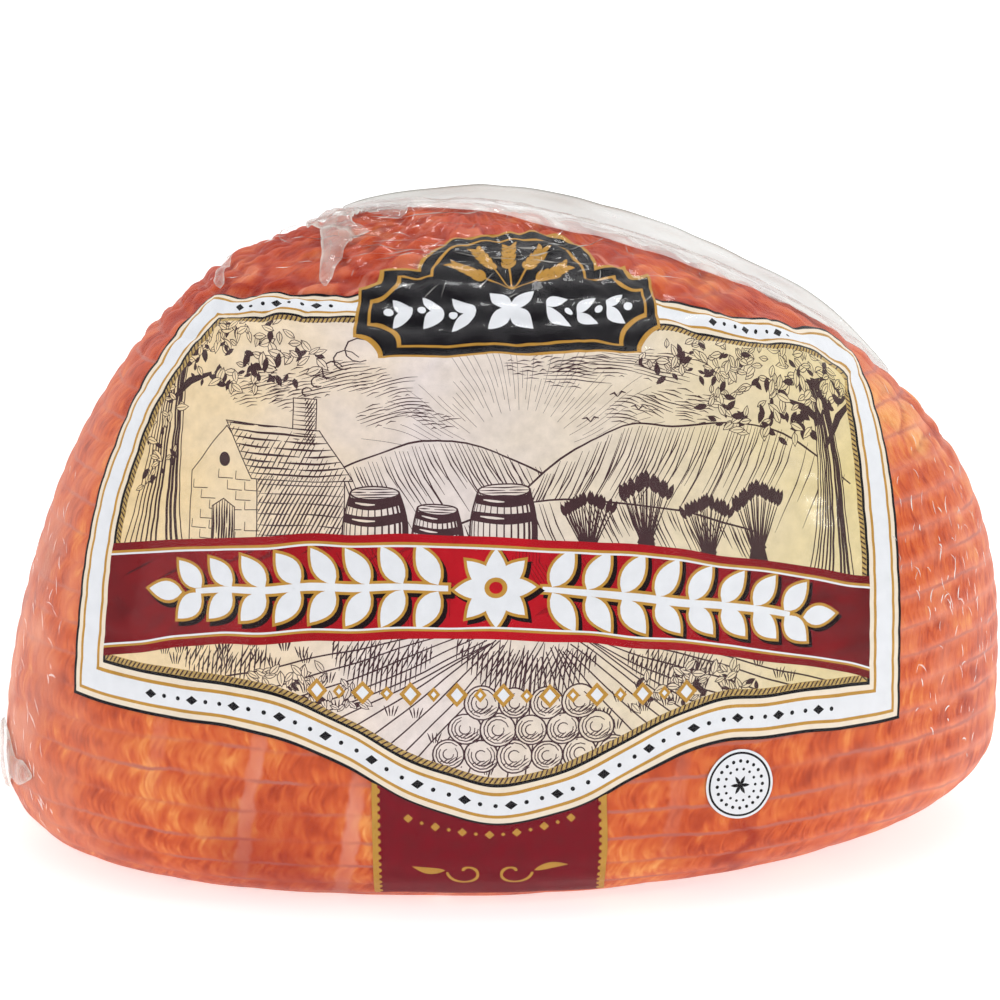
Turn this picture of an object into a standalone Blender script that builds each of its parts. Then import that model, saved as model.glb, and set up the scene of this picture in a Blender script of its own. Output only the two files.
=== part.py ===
"""Packed boneless ham: a netted, smoked ham sealed in clear shrink film with a printed label.

The ham is a dome with a flat base. Every level curve is a superellipse, so the form is set by
three profiles: the left flank, the right flank, and the front and back together. A place on the
skin is given by two lengths in millimetres: how far up the front meridian from the foot (rise),
and how far round the level curve from that meridian (arc, positive to the right).
"""

import math
from collections import namedtuple

import bmesh
import bpy
import numpy as np
from mathutils import Matrix, Vector
from mathutils.geometry import delaunay_2d_cdt

MM = 0.001

# Colours of the pieces, linear red, green and blue
MEAT_COLOUR = (0.62, 0.17, 0.08)
LABEL_COLOUR = (0.80, 0.76, 0.66)
BLACK = (0.012, 0.012, 0.013)
WHITE = (0.85, 0.85, 0.83)
WINE_RED = (0.22, 0.008, 0.02)
SEAL_COLOUR = (0.72, 0.73, 0.68)
PLEAT_COLOUR = (0.80, 0.66, 0.60)
FILM_GLOSS = 0.25
MEAT_GLOSS = 0.35
PRINT_GLOSS = 0.4
SMOOTH_BELOW_DEG = 40.0

# Form of the ham, millimetres
Flank = namedtuple("Flank", "reach widest foot crown shoulder tuck")
LEFT = Flank(reach=133.5, widest=22.4, foot=112.0, crown=1.65, shoulder=2.8, tuck=2.0)
RIGHT = Flank(reach=153.5, widest=33.5, foot=70.0, crown=3.1, shoulder=1.38, tuck=2.66)
DEPTH = Flank(reach=100.0, widest=34.0, foot=76.0, crown=2.2, shoulder=2.0, tuck=2.0)
HAM_HEIGHT = 177.0
CENTRE_X = (LEFT.reach - RIGHT.reach) / 2
SQUARENESS_LEFT = 2.5
SQUARENESS_RIGHT = 2.0

# Net marks in the skin
NET_ROWS = 29
NET_STRANDS = 28
COLUMNS_PER_STRAND = 3
ROW_DEPTH = 1.1
STRAND_DEPTH = 0.7
NET_TWIST = 0.15
FADE_AT_FOOT = 8.0
FADE_AT_POLE = 14.0
HALVE_COLUMNS_BELOW = 0.40
QUARTER_COLUMNS_BELOW = 0.16
NORMAL_STEP = 0.4

# Printed skins that lie on the film
LABEL_ARC = 8.0
SKIN_LIFT = 0.5
SKIN_THICKNESS = 0.6
SKIN_GAP = 1.0
LABEL_EDGE_STEP = 6.0
LABEL_GRID = 8.0
SMALL_GRID = 5.0
LABEL_HALF_WIDTH_LEFT = 119.0
LABEL_HALF_WIDTH_RIGHT = 115.5
LABEL_LOW_CORNER = 66.0
LABEL_LOW_CORNER_RIGHT = 57.0
LABEL_TOP_CORNER = 180.0
LABEL_TOP_CORNER_RIGHT = 160.0
LABEL_DRAW_IN = 34.0
LABEL_SPREAD = 5.0
LABEL_SPREAD_FROM = 110.0
LABEL_FOOT = 59.5
LABEL_FOOT_SLOPE = -0.035
LABEL_FOOT_BEND = 0.00016
LABEL_DIP = 21.0
LABEL_DIP_HALF_WIDTH = 65.0
LABEL_APEX = 190.5
LABEL_FALL_LEFT = 0.13
LABEL_FALL_RIGHT = 0.25

PLAQUE_CENTRE = 4.0
PLAQUE_HALF_WIDTH = 41.0
PLAQUE_FOOT = 164.0
PLAQUE_SHOULDER = 194.0
PLAQUE_NOTCH = 6.0
PLAQUE_ARCH_HALF_WIDTH = 25.0
PLAQUE_ARCH_RISE = 19.0
PLAQUE_ARCH_STEPS = 10
PLAQUE_EDGE_STEP = 6.5

MARK_CENTRE = (65.0, 46.0)
MARK_RADIUS = 9.6
MARK_SIDES = 24

RIBBON_CENTRE = -1.5
RIBBON_HALF_WIDTH = 30.5
RIBBON_FOOT = 13.0
RIBBON_EDGE_STEP = 4.5

# Film that stands off the ham
FIN_START_X = -44.0
FIN_END_X = 112.0
FIN_Y = 14.0
FIN_SWAY = 1.6
FIN_WAVES = 3.5
FIN_HEIGHT = 6.6
FIN_END_HEIGHT = 1.0
FIN_FULLNESS = 0.7
FIN_THICKNESS = 1.2
FIN_STEPS = 44
FILM_GAP = 0.4
SIDE_PLEAT_FOOT = (-166.0, 26.0)
SIDE_PLEAT_HEAD = (-184.0, 66.0)
CROWN_PLEAT_FOOT = (-37.0, 189.0)
CROWN_PLEAT_HEAD = (-49.0, 219.0)
PLEAT_HEIGHT = 2.6
PLEAT_END_HEIGHT = 0.7
PLEAT_WIDTH = 4.0
PLEAT_END_WIDTH = 1.2
PLEAT_FULLNESS = 0.8
PLEAT_STEPS = 14
PLEAT_SECTION = ((-0.5, 0.0), (0.5, 0.0), (0.35, 0.6), (0.1, 1.0), (-0.1, 1.0), (-0.35, 0.6))


def clear_scene():
    """Remove every object that is already in the file."""
    for item in list(bpy.data.objects):
        bpy.data.objects.remove(item, do_unlink=True)


def reach_at(flank, height):
    """Half extent of the ham on one flank at a height, or at an array of heights."""
    above = np.clip((height - flank.widest) / (HAM_HEIGHT - flank.widest), 0.0, 1.0)
    below = np.clip((flank.widest - height) / flank.widest, 0.0, 1.0)
    crown = flank.reach * np.clip(1.0 - above ** flank.crown, 0.0, 1.0) ** (1.0 / flank.shoulder)
    tuck = np.clip(1.0 - below ** flank.tuck, 0.0, 1.0) ** (1.0 / flank.tuck)
    return np.where(height >= flank.widest, crown, flank.foot + (flank.reach - flank.foot) * tuck)


def front_meridian(samples=4001):
    """Heights from foot to pole, and the length of the front meridian up to each."""
    turn = np.linspace(0.0, math.pi, samples)
    heights = HAM_HEIGHT * (0.5 - 0.5 * np.cos(turn))
    steps = np.hypot(np.diff(reach_at(DEPTH, heights)), np.diff(heights))
    return heights, np.concatenate([[0.0], np.cumsum(steps)])


MERIDIAN_HEIGHTS, MERIDIAN_RISES = front_meridian()
FULL_RISE = float(MERIDIAN_RISES[-1])


def level_curve(rise, samples=721):
    """Turn angles round the ham at one rise, with x, y, z and the arc length at each."""
    height = float(np.interp(rise, MERIDIAN_RISES, MERIDIAN_HEIGHTS))
    turn = np.linspace(-math.pi, math.pi, samples)
    across, along = np.sin(turn), np.cos(turn)
    half_width = np.where(across >= 0, reach_at(RIGHT, height), reach_at(LEFT, height)) + 1e-6
    half_depth = reach_at(DEPTH, height) + 1e-6
    power = np.where(across >= 0, SQUARENESS_RIGHT, SQUARENESS_LEFT)
    total = np.abs(across / half_width) ** power + np.abs(along / half_depth) ** power
    radius = total ** (-1.0 / power)
    x = CENTRE_X + radius * across
    y = -radius * along
    arc = np.concatenate([[0.0], np.cumsum(np.hypot(np.diff(x), np.diff(y)))])
    arc -= np.interp(0.0, turn, arc)
    return turn, x, y, height, arc


WIDEST_RISE = float(np.interp(DEPTH.widest, MERIDIAN_HEIGHTS, MERIDIAN_RISES))
GIRTH = float(np.ptp(level_curve(WIDEST_RISE)[4]))


def points_at(rise, arcs):
    """Points of the skin at one rise, for an array of arc lengths, in millimetres."""
    _, x, y, height, arc = level_curve(min(max(rise, 0.0), FULL_RISE))
    length = arc[-1] - arc[0]
    wrapped = (np.asarray(arcs, dtype=float) - arc[0]) % length + arc[0]
    return np.stack([
        np.interp(wrapped, arc, x),
        np.interp(wrapped, arc, y),
        np.full(wrapped.shape, height),
    ], axis=-1)


def raised_points(rise, arcs, lift):
    """Points that stand off the skin by lift along its outward normal."""
    arcs = np.asarray(arcs, dtype=float)
    up = points_at(rise + NORMAL_STEP, arcs) - points_at(rise - NORMAL_STEP, arcs)
    sideways = points_at(rise, arcs + NORMAL_STEP) - points_at(rise, arcs - NORMAL_STEP)
    normal = np.cross(sideways, up)
    normal /= np.linalg.norm(normal, axis=-1, keepdims=True)
    return points_at(rise, arcs) + normal * np.asarray(lift)[..., None]


def ease(value):
    """Smooth step from 0 to 1."""
    value = np.clip(value, 0.0, 1.0)
    return value * value * (3.0 - 2.0 * value)


def strand_arcs(rise, shares):
    """Arc lengths at one rise of the lines that strands follow, for shares of the girth."""
    shares = np.asarray(shares) + NET_TWIST * (rise - WIDEST_RISE) / GIRTH
    shares = (shares + 0.5) % 1.0 - 0.5
    arc = level_curve(rise)[4]
    length = arc[-1] - arc[0]
    if rise >= WIDEST_RISE:
        return shares * length
    pull = ease(2.0 * np.abs(shares))
    return shares * (GIRTH * (1.0 - pull) + length * pull)


def new_object(name, vertices_mm, faces, colour, roughness):
    """Make a mesh object with its own material from millimetre points and triangles."""
    mesh = bpy.data.meshes.new(name)
    mesh.from_pydata([tuple(float(c) * MM for c in point) for point in vertices_mm], [], faces)
    mesh.validate()
    shell = bmesh.new()
    shell.from_mesh(mesh)
    bmesh.ops.recalc_face_normals(shell, faces=shell.faces)
    shell.to_mesh(mesh)
    shell.free()
    mesh.shade_smooth()
    mesh.set_sharp_from_angle(angle=math.radians(SMOOTH_BELOW_DEG))
    material = bpy.data.materials.new(name)
    material.use_nodes = True
    shader = material.node_tree.nodes["Principled BSDF"]
    shader.inputs["Base Color"].default_value = (*colour, 1.0)
    shader.inputs["Roughness"].default_value = roughness
    mesh.materials.append(material)
    item = bpy.data.objects.new(name, mesh)
    bpy.context.collection.objects.link(item)
    return item


def join_rings(faces, lower, upper):
    """Add triangles between two closed rings, of equal count or with half as many above."""
    count = len(upper)
    if len(lower) == count:
        for i in range(count):
            j = (i + 1) % count
            faces.append((lower[i], lower[j], upper[j]))
            faces.append((lower[i], upper[j], upper[i]))
        return
    for i in range(count):
        j = (i + 1) % count
        first, middle, last = lower[2 * i], lower[2 * i + 1], lower[(2 * i + 2) % len(lower)]
        faces.append((first, middle, upper[i]))
        faces.append((middle, upper[j], upper[i]))
        faces.append((middle, last, upper[j]))


def columns_at(rise):
    """How many points a ring has: full low down, then half and a quarter near the pole."""
    full = NET_STRANDS * COLUMNS_PER_STRAND
    girth_here = float(np.ptp(level_curve(rise)[4]))
    if girth_here > HALVE_COLUMNS_BELOW * GIRTH:
        return full
    return full // 2 if girth_here > QUARTER_COLUMNS_BELOW * GIRTH else full // 4


def make_ham():
    """The sealed ham: rows pressed in by the net's rings, pillows between its strands."""
    pitch = FULL_RISE / NET_ROWS
    vertices, faces, rings = [], [], []
    for half_row in range(2 * NET_ROWS):
        rise = half_row * pitch / 2
        on_ring = half_row % 2 == 0
        count = columns_at(rise)
        index = np.arange(count) * (NET_STRANDS * COLUMNS_PER_STRAND // count)
        shares = index / (NET_STRANDS * COLUMNS_PER_STRAND)
        depth = np.where(index % COLUMNS_PER_STRAND == 0, STRAND_DEPTH, 0.0)
        depth = depth + (ROW_DEPTH if on_ring else 0.0)
        fade = ease(rise / FADE_AT_FOOT) * ease((FULL_RISE - rise) / FADE_AT_POLE)
        ring = raised_points(rise, strand_arcs(rise, shares), -depth * fade)
        rings.append(list(range(len(vertices), len(vertices) + count)))
        vertices.extend(ring)
    for lower, upper in zip(rings, rings[1:]):
        join_rings(faces, lower, upper)
    for ring, height in ((rings[0], 0.0), (rings[-1], HAM_HEIGHT)):
        hub = len(vertices)
        vertices.append((CENTRE_X, 0.0, height))
        for i, here in enumerate(ring):
            faces.append((here, ring[(i + 1) % len(ring)], hub))
    return new_object("ham_in_film", vertices, faces, MEAT_COLOUR, MEAT_GLOSS)


def spaced(start, end, step):
    """Evenly spaced values from start up to but not including end."""
    count = max(1, round(abs(end - start) / step))
    return [start + (end - start) * i / count for i in range(count)]


def label_left(rise):
    """Left edge of the label, as an arc from its middle; it draws in towards the top."""
    share = max(0.0, (rise - LABEL_LOW_CORNER) / (LABEL_TOP_CORNER - LABEL_LOW_CORNER))
    return -LABEL_HALF_WIDTH_LEFT + LABEL_DRAW_IN * share ** 3


def label_right(rise):
    """Right edge of the label, which spreads a little near its top corner."""
    span = LABEL_TOP_CORNER_RIGHT - LABEL_SPREAD_FROM
    share = max(0.0, (rise - LABEL_SPREAD_FROM) / span)
    return LABEL_HALF_WIDTH_RIGHT + LABEL_SPREAD * share ** 3


def label_foot(across):
    """Lower edge of the label: a shallow line with a rounded dip in the middle."""
    line = LABEL_FOOT + LABEL_FOOT_SLOPE * across + LABEL_FOOT_BEND * across ** 2
    if abs(across) >= LABEL_DIP_HALF_WIDTH:
        return line
    return line - LABEL_DIP * math.cos(math.pi * across / (2 * LABEL_DIP_HALF_WIDTH)) ** 2


def label_top(across):
    """Upper edge of the label: two slopes that meet under the plaque."""
    return LABEL_APEX - LABEL_FALL_RIGHT * max(across, 0.0) - LABEL_FALL_LEFT * max(-across, 0.0)


def label_outline():
    """The label's outline, anticlockwise, with a bay in its top edge for the plaque."""
    left_foot, right_foot = label_left(LABEL_LOW_CORNER), label_right(LABEL_LOW_CORNER_RIGHT)
    left_top, right_top = label_left(LABEL_TOP_CORNER), label_right(LABEL_TOP_CORNER_RIGHT)
    bay_left = PLAQUE_CENTRE - PLAQUE_HALF_WIDTH - SKIN_GAP
    bay_right = PLAQUE_CENTRE + PLAQUE_HALF_WIDTH + SKIN_GAP
    bay_floor = PLAQUE_FOOT - SKIN_GAP
    points = [(a, label_foot(a)) for a in spaced(left_foot, right_foot, LABEL_EDGE_STEP)]
    points += [(label_right(r), r)
               for r in spaced(label_foot(right_foot), label_top(right_top), LABEL_EDGE_STEP)]
    points += [(a, label_top(a)) for a in spaced(right_top, bay_right, LABEL_EDGE_STEP)]
    points += [(bay_right, r) for r in spaced(label_top(bay_right), bay_floor, LABEL_EDGE_STEP)]
    points += [(a, bay_floor) for a in spaced(bay_right, bay_left, LABEL_EDGE_STEP)]
    points += [(bay_left, r) for r in spaced(bay_floor, label_top(bay_left), LABEL_EDGE_STEP)]
    points += [(a, label_top(a)) for a in spaced(bay_left, left_top, LABEL_EDGE_STEP)]
    points += [(label_left(r), r)
               for r in spaced(label_top(left_top), label_foot(left_foot), LABEL_EDGE_STEP)]
    return points


def quarter(centre, radius, start, steps=3):
    """Points of a clockwise quarter circle, for a corner that is bitten out."""
    return [(centre[0] + radius * math.cos(start - math.pi / 2 * i / steps),
             centre[1] + radius * math.sin(start - math.pi / 2 * i / steps))
            for i in range(steps + 1)]


def plaque_outline():
    """The plaque: a panel with four bitten corners and an arch on top, anticlockwise."""
    left, right = PLAQUE_CENTRE - PLAQUE_HALF_WIDTH, PLAQUE_CENTRE + PLAQUE_HALF_WIDTH
    bottom = spaced(left + PLAQUE_NOTCH, right - PLAQUE_NOTCH, PLAQUE_EDGE_STEP)
    side = spaced(PLAQUE_FOOT + PLAQUE_NOTCH, PLAQUE_SHOULDER - PLAQUE_NOTCH, PLAQUE_EDGE_STEP)
    points = quarter((left, PLAQUE_FOOT), PLAQUE_NOTCH, math.pi / 2)
    points += [(a, PLAQUE_FOOT) for a in bottom[1:]]
    points += quarter((right, PLAQUE_FOOT), PLAQUE_NOTCH, math.pi)
    points += [(right, r) for r in side[1:]]
    points += quarter((right, PLAQUE_SHOULDER), PLAQUE_NOTCH, 3 * math.pi / 2)
    for i in range(PLAQUE_ARCH_STEPS + 1):
        turn = math.pi * i / PLAQUE_ARCH_STEPS
        points.append((PLAQUE_CENTRE + PLAQUE_ARCH_HALF_WIDTH * math.cos(turn),
                       PLAQUE_SHOULDER + PLAQUE_ARCH_RISE * math.sin(turn)))
    points += quarter((left, PLAQUE_SHOULDER), PLAQUE_NOTCH, 0.0)
    points += [(left, r) for r in side[:0:-1]]
    return points


def mark_outline():
    """The round mark."""
    return [(MARK_CENTRE[0] + MARK_RADIUS * math.cos(2 * math.pi * i / MARK_SIDES),
             MARK_CENTRE[1] + MARK_RADIUS * math.sin(2 * math.pi * i / MARK_SIDES))
            for i in range(MARK_SIDES)]


def ribbon_outline():
    """The ribbon below the label, whose top edge follows the label's dip."""
    left, right = RIBBON_CENTRE - RIBBON_HALF_WIDTH, RIBBON_CENTRE + RIBBON_HALF_WIDTH
    left_top, right_top = label_foot(left) - SKIN_GAP, label_foot(right) - SKIN_GAP
    points = [(a, RIBBON_FOOT) for a in spaced(left, right, RIBBON_EDGE_STEP)]
    points += [(right, r) for r in spaced(RIBBON_FOOT, right_top, RIBBON_EDGE_STEP)]
    points += [(a, label_foot(a) - SKIN_GAP) for a in spaced(right, left, RIBBON_EDGE_STEP)]
    points += [(left, r) for r in spaced(left_top, RIBBON_FOOT, RIBBON_EDGE_STEP)]
    return points


def inside(outline, point):
    """Whether a point lies inside an outline."""
    hit = False
    for (x1, y1), (x2, y2) in zip(outline, outline[1:] + outline[:1]):
        if (y1 > point[1]) != (y2 > point[1]):
            hit ^= point[0] < (x2 - x1) * (point[1] - y1) / (y2 - y1) + x1
    return hit


def distance_to(outline, point):
    """Distance from a point to the nearest side of an outline."""
    nearest = math.inf
    for (x1, y1), (x2, y2) in zip(outline, outline[1:] + outline[:1]):
        span = (x2 - x1) ** 2 + (y2 - y1) ** 2
        share = ((point[0] - x1) * (x2 - x1) + (point[1] - y1) * (y2 - y1)) / span
        share = min(1.0, max(0.0, share))
        nearest = min(nearest, math.hypot(x1 + share * (x2 - x1) - point[0],
                                          y1 + share * (y2 - y1) - point[1]))
    return nearest


def make_skin(name, outline, grid, colour):
    """A thin curved plate over the ham, cut to an outline that is drawn on the skin."""
    across = [p[0] for p in outline]
    rises = [p[1] for p in outline]
    seeds = list(outline)
    rows = int((max(rises) - min(rises)) / grid)
    columns = int((max(across) - min(across)) / grid)
    for row in range(1, rows + 1):
        for column in range(columns + 1):
            seed = (min(across) + (column + 0.5 * (row % 2)) * grid, min(rises) + row * grid)
            if inside(outline, seed) and distance_to(outline, seed) > 0.45 * grid:
                seeds.append(seed)
    flat, _, triangles, *_ = delaunay_2d_cdt(
        [Vector(p) for p in seeds], [], [list(range(len(outline)))], 1, 1e-6)
    inner, outer = [], []
    for place in flat:
        arcs = np.array([place[0] + LABEL_ARC])
        inner.append(raised_points(place[1], arcs, np.array([SKIN_LIFT]))[0])
        outer.append(raised_points(place[1], arcs, np.array([SKIN_LIFT + SKIN_THICKNESS]))[0])
    count = len(flat)
    faces, sides = [], {}
    for a, b, c in triangles:
        faces.append((a + count, b + count, c + count))
        faces.append((c, b, a))
        for start, end in ((a, b), (b, c), (c, a)):
            if (end, start) in sides:
                del sides[(end, start)]
            else:
                sides[(start, end)] = True
    for start, end in sides:
        faces.append((start, end, end + count))
        faces.append((start, end + count, start + count))
    return new_object(name, inner + outer, faces, colour, PRINT_GLOSS)


def skin_height(x, y):
    """Height of the ham's upper skin above a place on the floor."""
    low, high = DEPTH.widest, HAM_HEIGHT
    flank = RIGHT if x > CENTRE_X else LEFT
    power = SQUARENESS_RIGHT if x > CENTRE_X else SQUARENESS_LEFT
    for _ in range(40):
        middle = (low + high) / 2
        share_x = abs(x - CENTRE_X) / (float(reach_at(flank, middle)) + 1e-9)
        share_y = abs(y) / (float(reach_at(DEPTH, middle)) + 1e-9)
        if share_x ** power + share_y ** power < 1.0:
            low = middle
        else:
            high = middle
    return low


def make_fin():
    """The bag's seal, a thin wavy fin of film that stands along the crown of the ham."""
    sections = []
    for i in range(FIN_STEPS + 1):
        share = i / FIN_STEPS
        x = FIN_START_X + (FIN_END_X - FIN_START_X) * share
        sway = FIN_SWAY * math.sin(2 * math.pi * FIN_WAVES * share)
        swell = math.sin(math.pi * share) ** FIN_FULLNESS
        rise = FIN_END_HEIGHT + (FIN_HEIGHT - FIN_END_HEIGHT) * swell
        front, back = FIN_Y - FIN_THICKNESS / 2, FIN_Y + FIN_THICKNESS / 2
        foot = max(skin_height(x, front), skin_height(x, back)) + FILM_GAP
        sections.append([
            (x, front, foot),
            (x, back, foot),
            (x, back + 0.5 * sway, foot + 0.5 * rise),
            (x, back + sway, foot + rise),
            (x, front + sway, foot + rise),
            (x, front + 0.5 * sway, foot + 0.5 * rise),
        ])
    return loft("top_seal_fin", sections, SEAL_COLOUR)


def make_pleat(name, foot, head):
    """A folded pleat of slack film between two places on the skin; it dies away at both ends."""
    sections = []
    for i in range(PLEAT_STEPS + 1):
        share = i / PLEAT_STEPS
        middle = foot[0] + (head[0] - foot[0]) * share
        rise = foot[1] + (head[1] - foot[1]) * share
        swell = math.sin(math.pi * share) ** PLEAT_FULLNESS
        width = PLEAT_END_WIDTH + (PLEAT_WIDTH - PLEAT_END_WIDTH) * swell
        height = PLEAT_END_HEIGHT + (PLEAT_HEIGHT - PLEAT_END_HEIGHT) * swell
        arcs = np.array([middle + width * across for across, _ in PLEAT_SECTION])
        lifts = np.array([FILM_GAP + height * up for _, up in PLEAT_SECTION])
        sections.append([tuple(p) for p in raised_points(rise, arcs, lifts)])
    return loft(name, sections, PLEAT_COLOUR)


def loft(name, sections, colour):
    """Join sections of equal count into one closed strip with flat ends."""
    faces = []
    count = len(sections[0])
    for i in range(len(sections) - 1):
        for j in range(count):
            a, b = i * count + j, i * count + (j + 1) % count
            faces.append((a, b, b + count))
            faces.append((a, b + count, a + count))
    last = (len(sections) - 1) * count
    for j in range(1, count - 1):
        faces.append((0, j + 1, j))
        faces.append((last, last + j, last + j + 1))
    points = [point for section in sections for point in section]
    return new_object(name, points, faces, colour, FILM_GLOSS)


def centre_on_floor():
    """Move every piece alike, so that the whole stands on the floor, centred on the origin."""
    meshes = [item.data for item in bpy.data.objects]
    points = np.array([vertex.co for mesh in meshes for vertex in mesh.vertices])
    low, high = points.min(axis=0), points.max(axis=0)
    shift = (-(low[0] + high[0]) / 2, -(low[1] + high[1]) / 2, -low[2])
    for mesh in meshes:
        mesh.transform(Matrix.Translation(shift))


def main():
    """Build every piece of the packed ham."""
    clear_scene()
    make_ham()
    make_skin("front_label", label_outline(), LABEL_GRID, LABEL_COLOUR)
    make_skin("black_plaque", plaque_outline(), LABEL_GRID, BLACK)
    make_skin("round_mark", mark_outline(), SMALL_GRID, WHITE)
    make_skin("foot_ribbon", ribbon_outline(), SMALL_GRID, WINE_RED)
    make_fin()
    make_pleat("side_pleat", SIDE_PLEAT_FOOT, SIDE_PLEAT_HEAD)
    make_pleat("crown_pleat", CROWN_PLEAT_FOOT, CROWN_PLEAT_HEAD)
    centre_on_floor()


main()
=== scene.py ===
"""Looks of a packed boneless ham: netted, smoked meat in clear shrink film with printed panels.

A place on the ham is given by two lengths in millimetres: its rise, up the front meridian from
the foot, and its arc, round the level curve from that meridian and positive to the right. The
form, the net's marks and the outlines of the print repeat the ones of the solids.
"""

from __future__ import annotations

import logging
import random
from dataclasses import dataclass, field
from enum import Enum
from functools import partial
from itertools import product
from math import atan2, ceil, cos, hypot, pi, radians, sin, sqrt

import bpy
import numpy as np
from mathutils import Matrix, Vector
from mathutils.geometry import delaunay_2d_cdt


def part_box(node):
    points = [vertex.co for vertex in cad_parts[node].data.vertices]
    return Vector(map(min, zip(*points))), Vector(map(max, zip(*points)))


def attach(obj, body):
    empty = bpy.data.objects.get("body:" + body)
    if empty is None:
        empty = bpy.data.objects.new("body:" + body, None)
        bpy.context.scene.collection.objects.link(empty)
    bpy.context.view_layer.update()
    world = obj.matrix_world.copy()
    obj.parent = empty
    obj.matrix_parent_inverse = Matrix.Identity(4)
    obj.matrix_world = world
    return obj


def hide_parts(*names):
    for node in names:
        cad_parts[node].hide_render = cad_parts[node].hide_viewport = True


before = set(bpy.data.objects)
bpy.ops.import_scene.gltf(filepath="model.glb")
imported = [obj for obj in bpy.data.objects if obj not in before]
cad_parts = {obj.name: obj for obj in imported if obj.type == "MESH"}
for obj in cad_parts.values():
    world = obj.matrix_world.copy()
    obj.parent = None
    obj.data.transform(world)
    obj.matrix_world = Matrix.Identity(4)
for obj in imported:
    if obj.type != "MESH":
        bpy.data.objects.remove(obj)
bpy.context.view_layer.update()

LOG = logging.getLogger("packed_ham")
MM = 0.001
Array = np.ndarray
Piece = bpy.types.Object
Point = tuple[float, float]
Outline = list[Point]


def linear(hex_colour: str) -> tuple[float, float, float, float]:
    """Turn an sRGB hex colour, such as "C8A050", into opaque linear light."""
    parts = [int(hex_colour[i:i + 2], 16) / 255 for i in (0, 2, 4)]
    light = [p / 12.92 if p <= 0.04045 else ((p + 0.055) / 1.055) ** 2.4 for p in parts]
    return light[0], light[1], light[2], 1.0


def add_node(tree: bpy.types.NodeTree, kind: str, inputs: dict | None = None,
             stops: list[tuple[float, str]] | None = None, **settings: object) -> bpy.types.Node:
    """Add a shader node with its settings and links.

    Args:
        tree: Node tree that takes the node.
        kind: Blender's type name without its "ShaderNode" part.
        inputs: Input name or index to a value, or to the node or output socket that feeds it.
        stops: Positions and hex colours, for a colour ramp.
        settings: Properties of the node itself.

    Returns:
        The new node.
    """
    node = tree.nodes.new("ShaderNode" + kind)
    for name, value in settings.items():
        setattr(node, name, value)
    for name, value in (inputs or {}).items():
        if isinstance(value, bpy.types.Node):
            value = value.outputs[0]
        if isinstance(value, bpy.types.NodeSocket):
            tree.links.new(value, node.inputs[name])
        else:
            node.inputs[name].default_value = value
    if stops:
        elements = node.color_ramp.elements
        for place, _ in stops[2:]:
            elements.new(place)
        for element, (place, colour) in zip(elements, sorted(stops)):
            element.position = place
            element.color = linear(colour)
    return node


def ease(value: Array, low: float = 0.0, high: float = 1.0) -> Array:
    """Smooth step of a value from 0 at low to 1 at high."""
    share = np.clip((np.asarray(value, dtype=float) - low) / (high - low), 0.0, 1.0)
    return share * share * (3.0 - 2.0 * share)


def between(start: Array | float, end: Array | float, share: Array | float) -> Array | float:
    """The value at a share of the way from start to end."""
    return start + (end - start) * share


def columns(*values: Array | float) -> Array:
    """Set values side by side, with one row for each place."""
    return np.stack(np.broadcast_arrays(*values), axis=1)


class SoftNoise:
    """Smooth, seeded noise in three dimensions, between 0 and 1."""

    def __init__(self, seed: int, cells: int = 32) -> None:
        """Draw the lattice of random values.

        Args:
            seed: Seed of the draw.
            cells: Cells along each side before the noise repeats.
        """
        self.cells = cells
        self.lattice = np.random.default_rng(seed).random((cells, cells, cells))

    def at(self, points: Array, size: float) -> Array:
        """Read the noise.

        Args:
            points: Places, one row each, in millimetres.
            size: Width of one cell, in millimetres.

        Returns:
            One value for each place.
        """
        scaled = np.asarray(points, dtype=float) / size
        base = np.floor(scaled).astype(int)
        blend = scaled - base
        blend = blend * blend * (3.0 - 2.0 * blend)
        total = np.zeros(len(scaled))
        for corner in range(8):
            step = np.array([corner & 1, corner >> 1 & 1, corner >> 2 & 1])
            weight = np.prod(np.where(step == 1, blend, 1.0 - blend), axis=1)
            cell = (base + step) % self.cells
            total += weight * self.lattice[cell[:, 0], cell[:, 1], cell[:, 2]]
        return total

    def lumps(self, points: Array, size: float) -> tuple[Array, Array]:
        """Split space into uneven lumps with crevices between them.

        Args:
            points: Places, one row each, in millimetres.
            size: Mean width of a lump, in millimetres.

        Returns:
            For each place its share of the way from a crevice to the heart of its lump, and a
            random value that is one for the whole lump.
        """
        scaled = np.asarray(points, dtype=float) / size
        base = np.floor(scaled).astype(int)
        nearest = np.full(len(scaled), 9.0)
        second = nearest.copy()
        value = np.zeros(len(scaled))
        for step in product((-1, 0, 1), repeat=3):
            cell = base + np.array(step)
            x, y, z = (cell % self.cells).T
            heart = np.stack([self.lattice[x, y, z], self.lattice[y, z, x],
                              self.lattice[z, x, y]], axis=1)
            away = np.linalg.norm(cell + heart - scaled, axis=1)
            closer = away < nearest
            second = np.where(closer, nearest, np.minimum(second, away))
            value = np.where(closer, self.lattice[x - 1, z, y], value)
            nearest = np.where(closer, away, nearest)
        return np.minimum(second - nearest, 1.0), value


@dataclass(frozen=True)
class Flank:
    """Profile of one side of the ham: half extents in millimetres, and curve powers."""

    reach: float
    widest: float
    foot: float
    crown: float
    shoulder: float
    tuck: float


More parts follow.
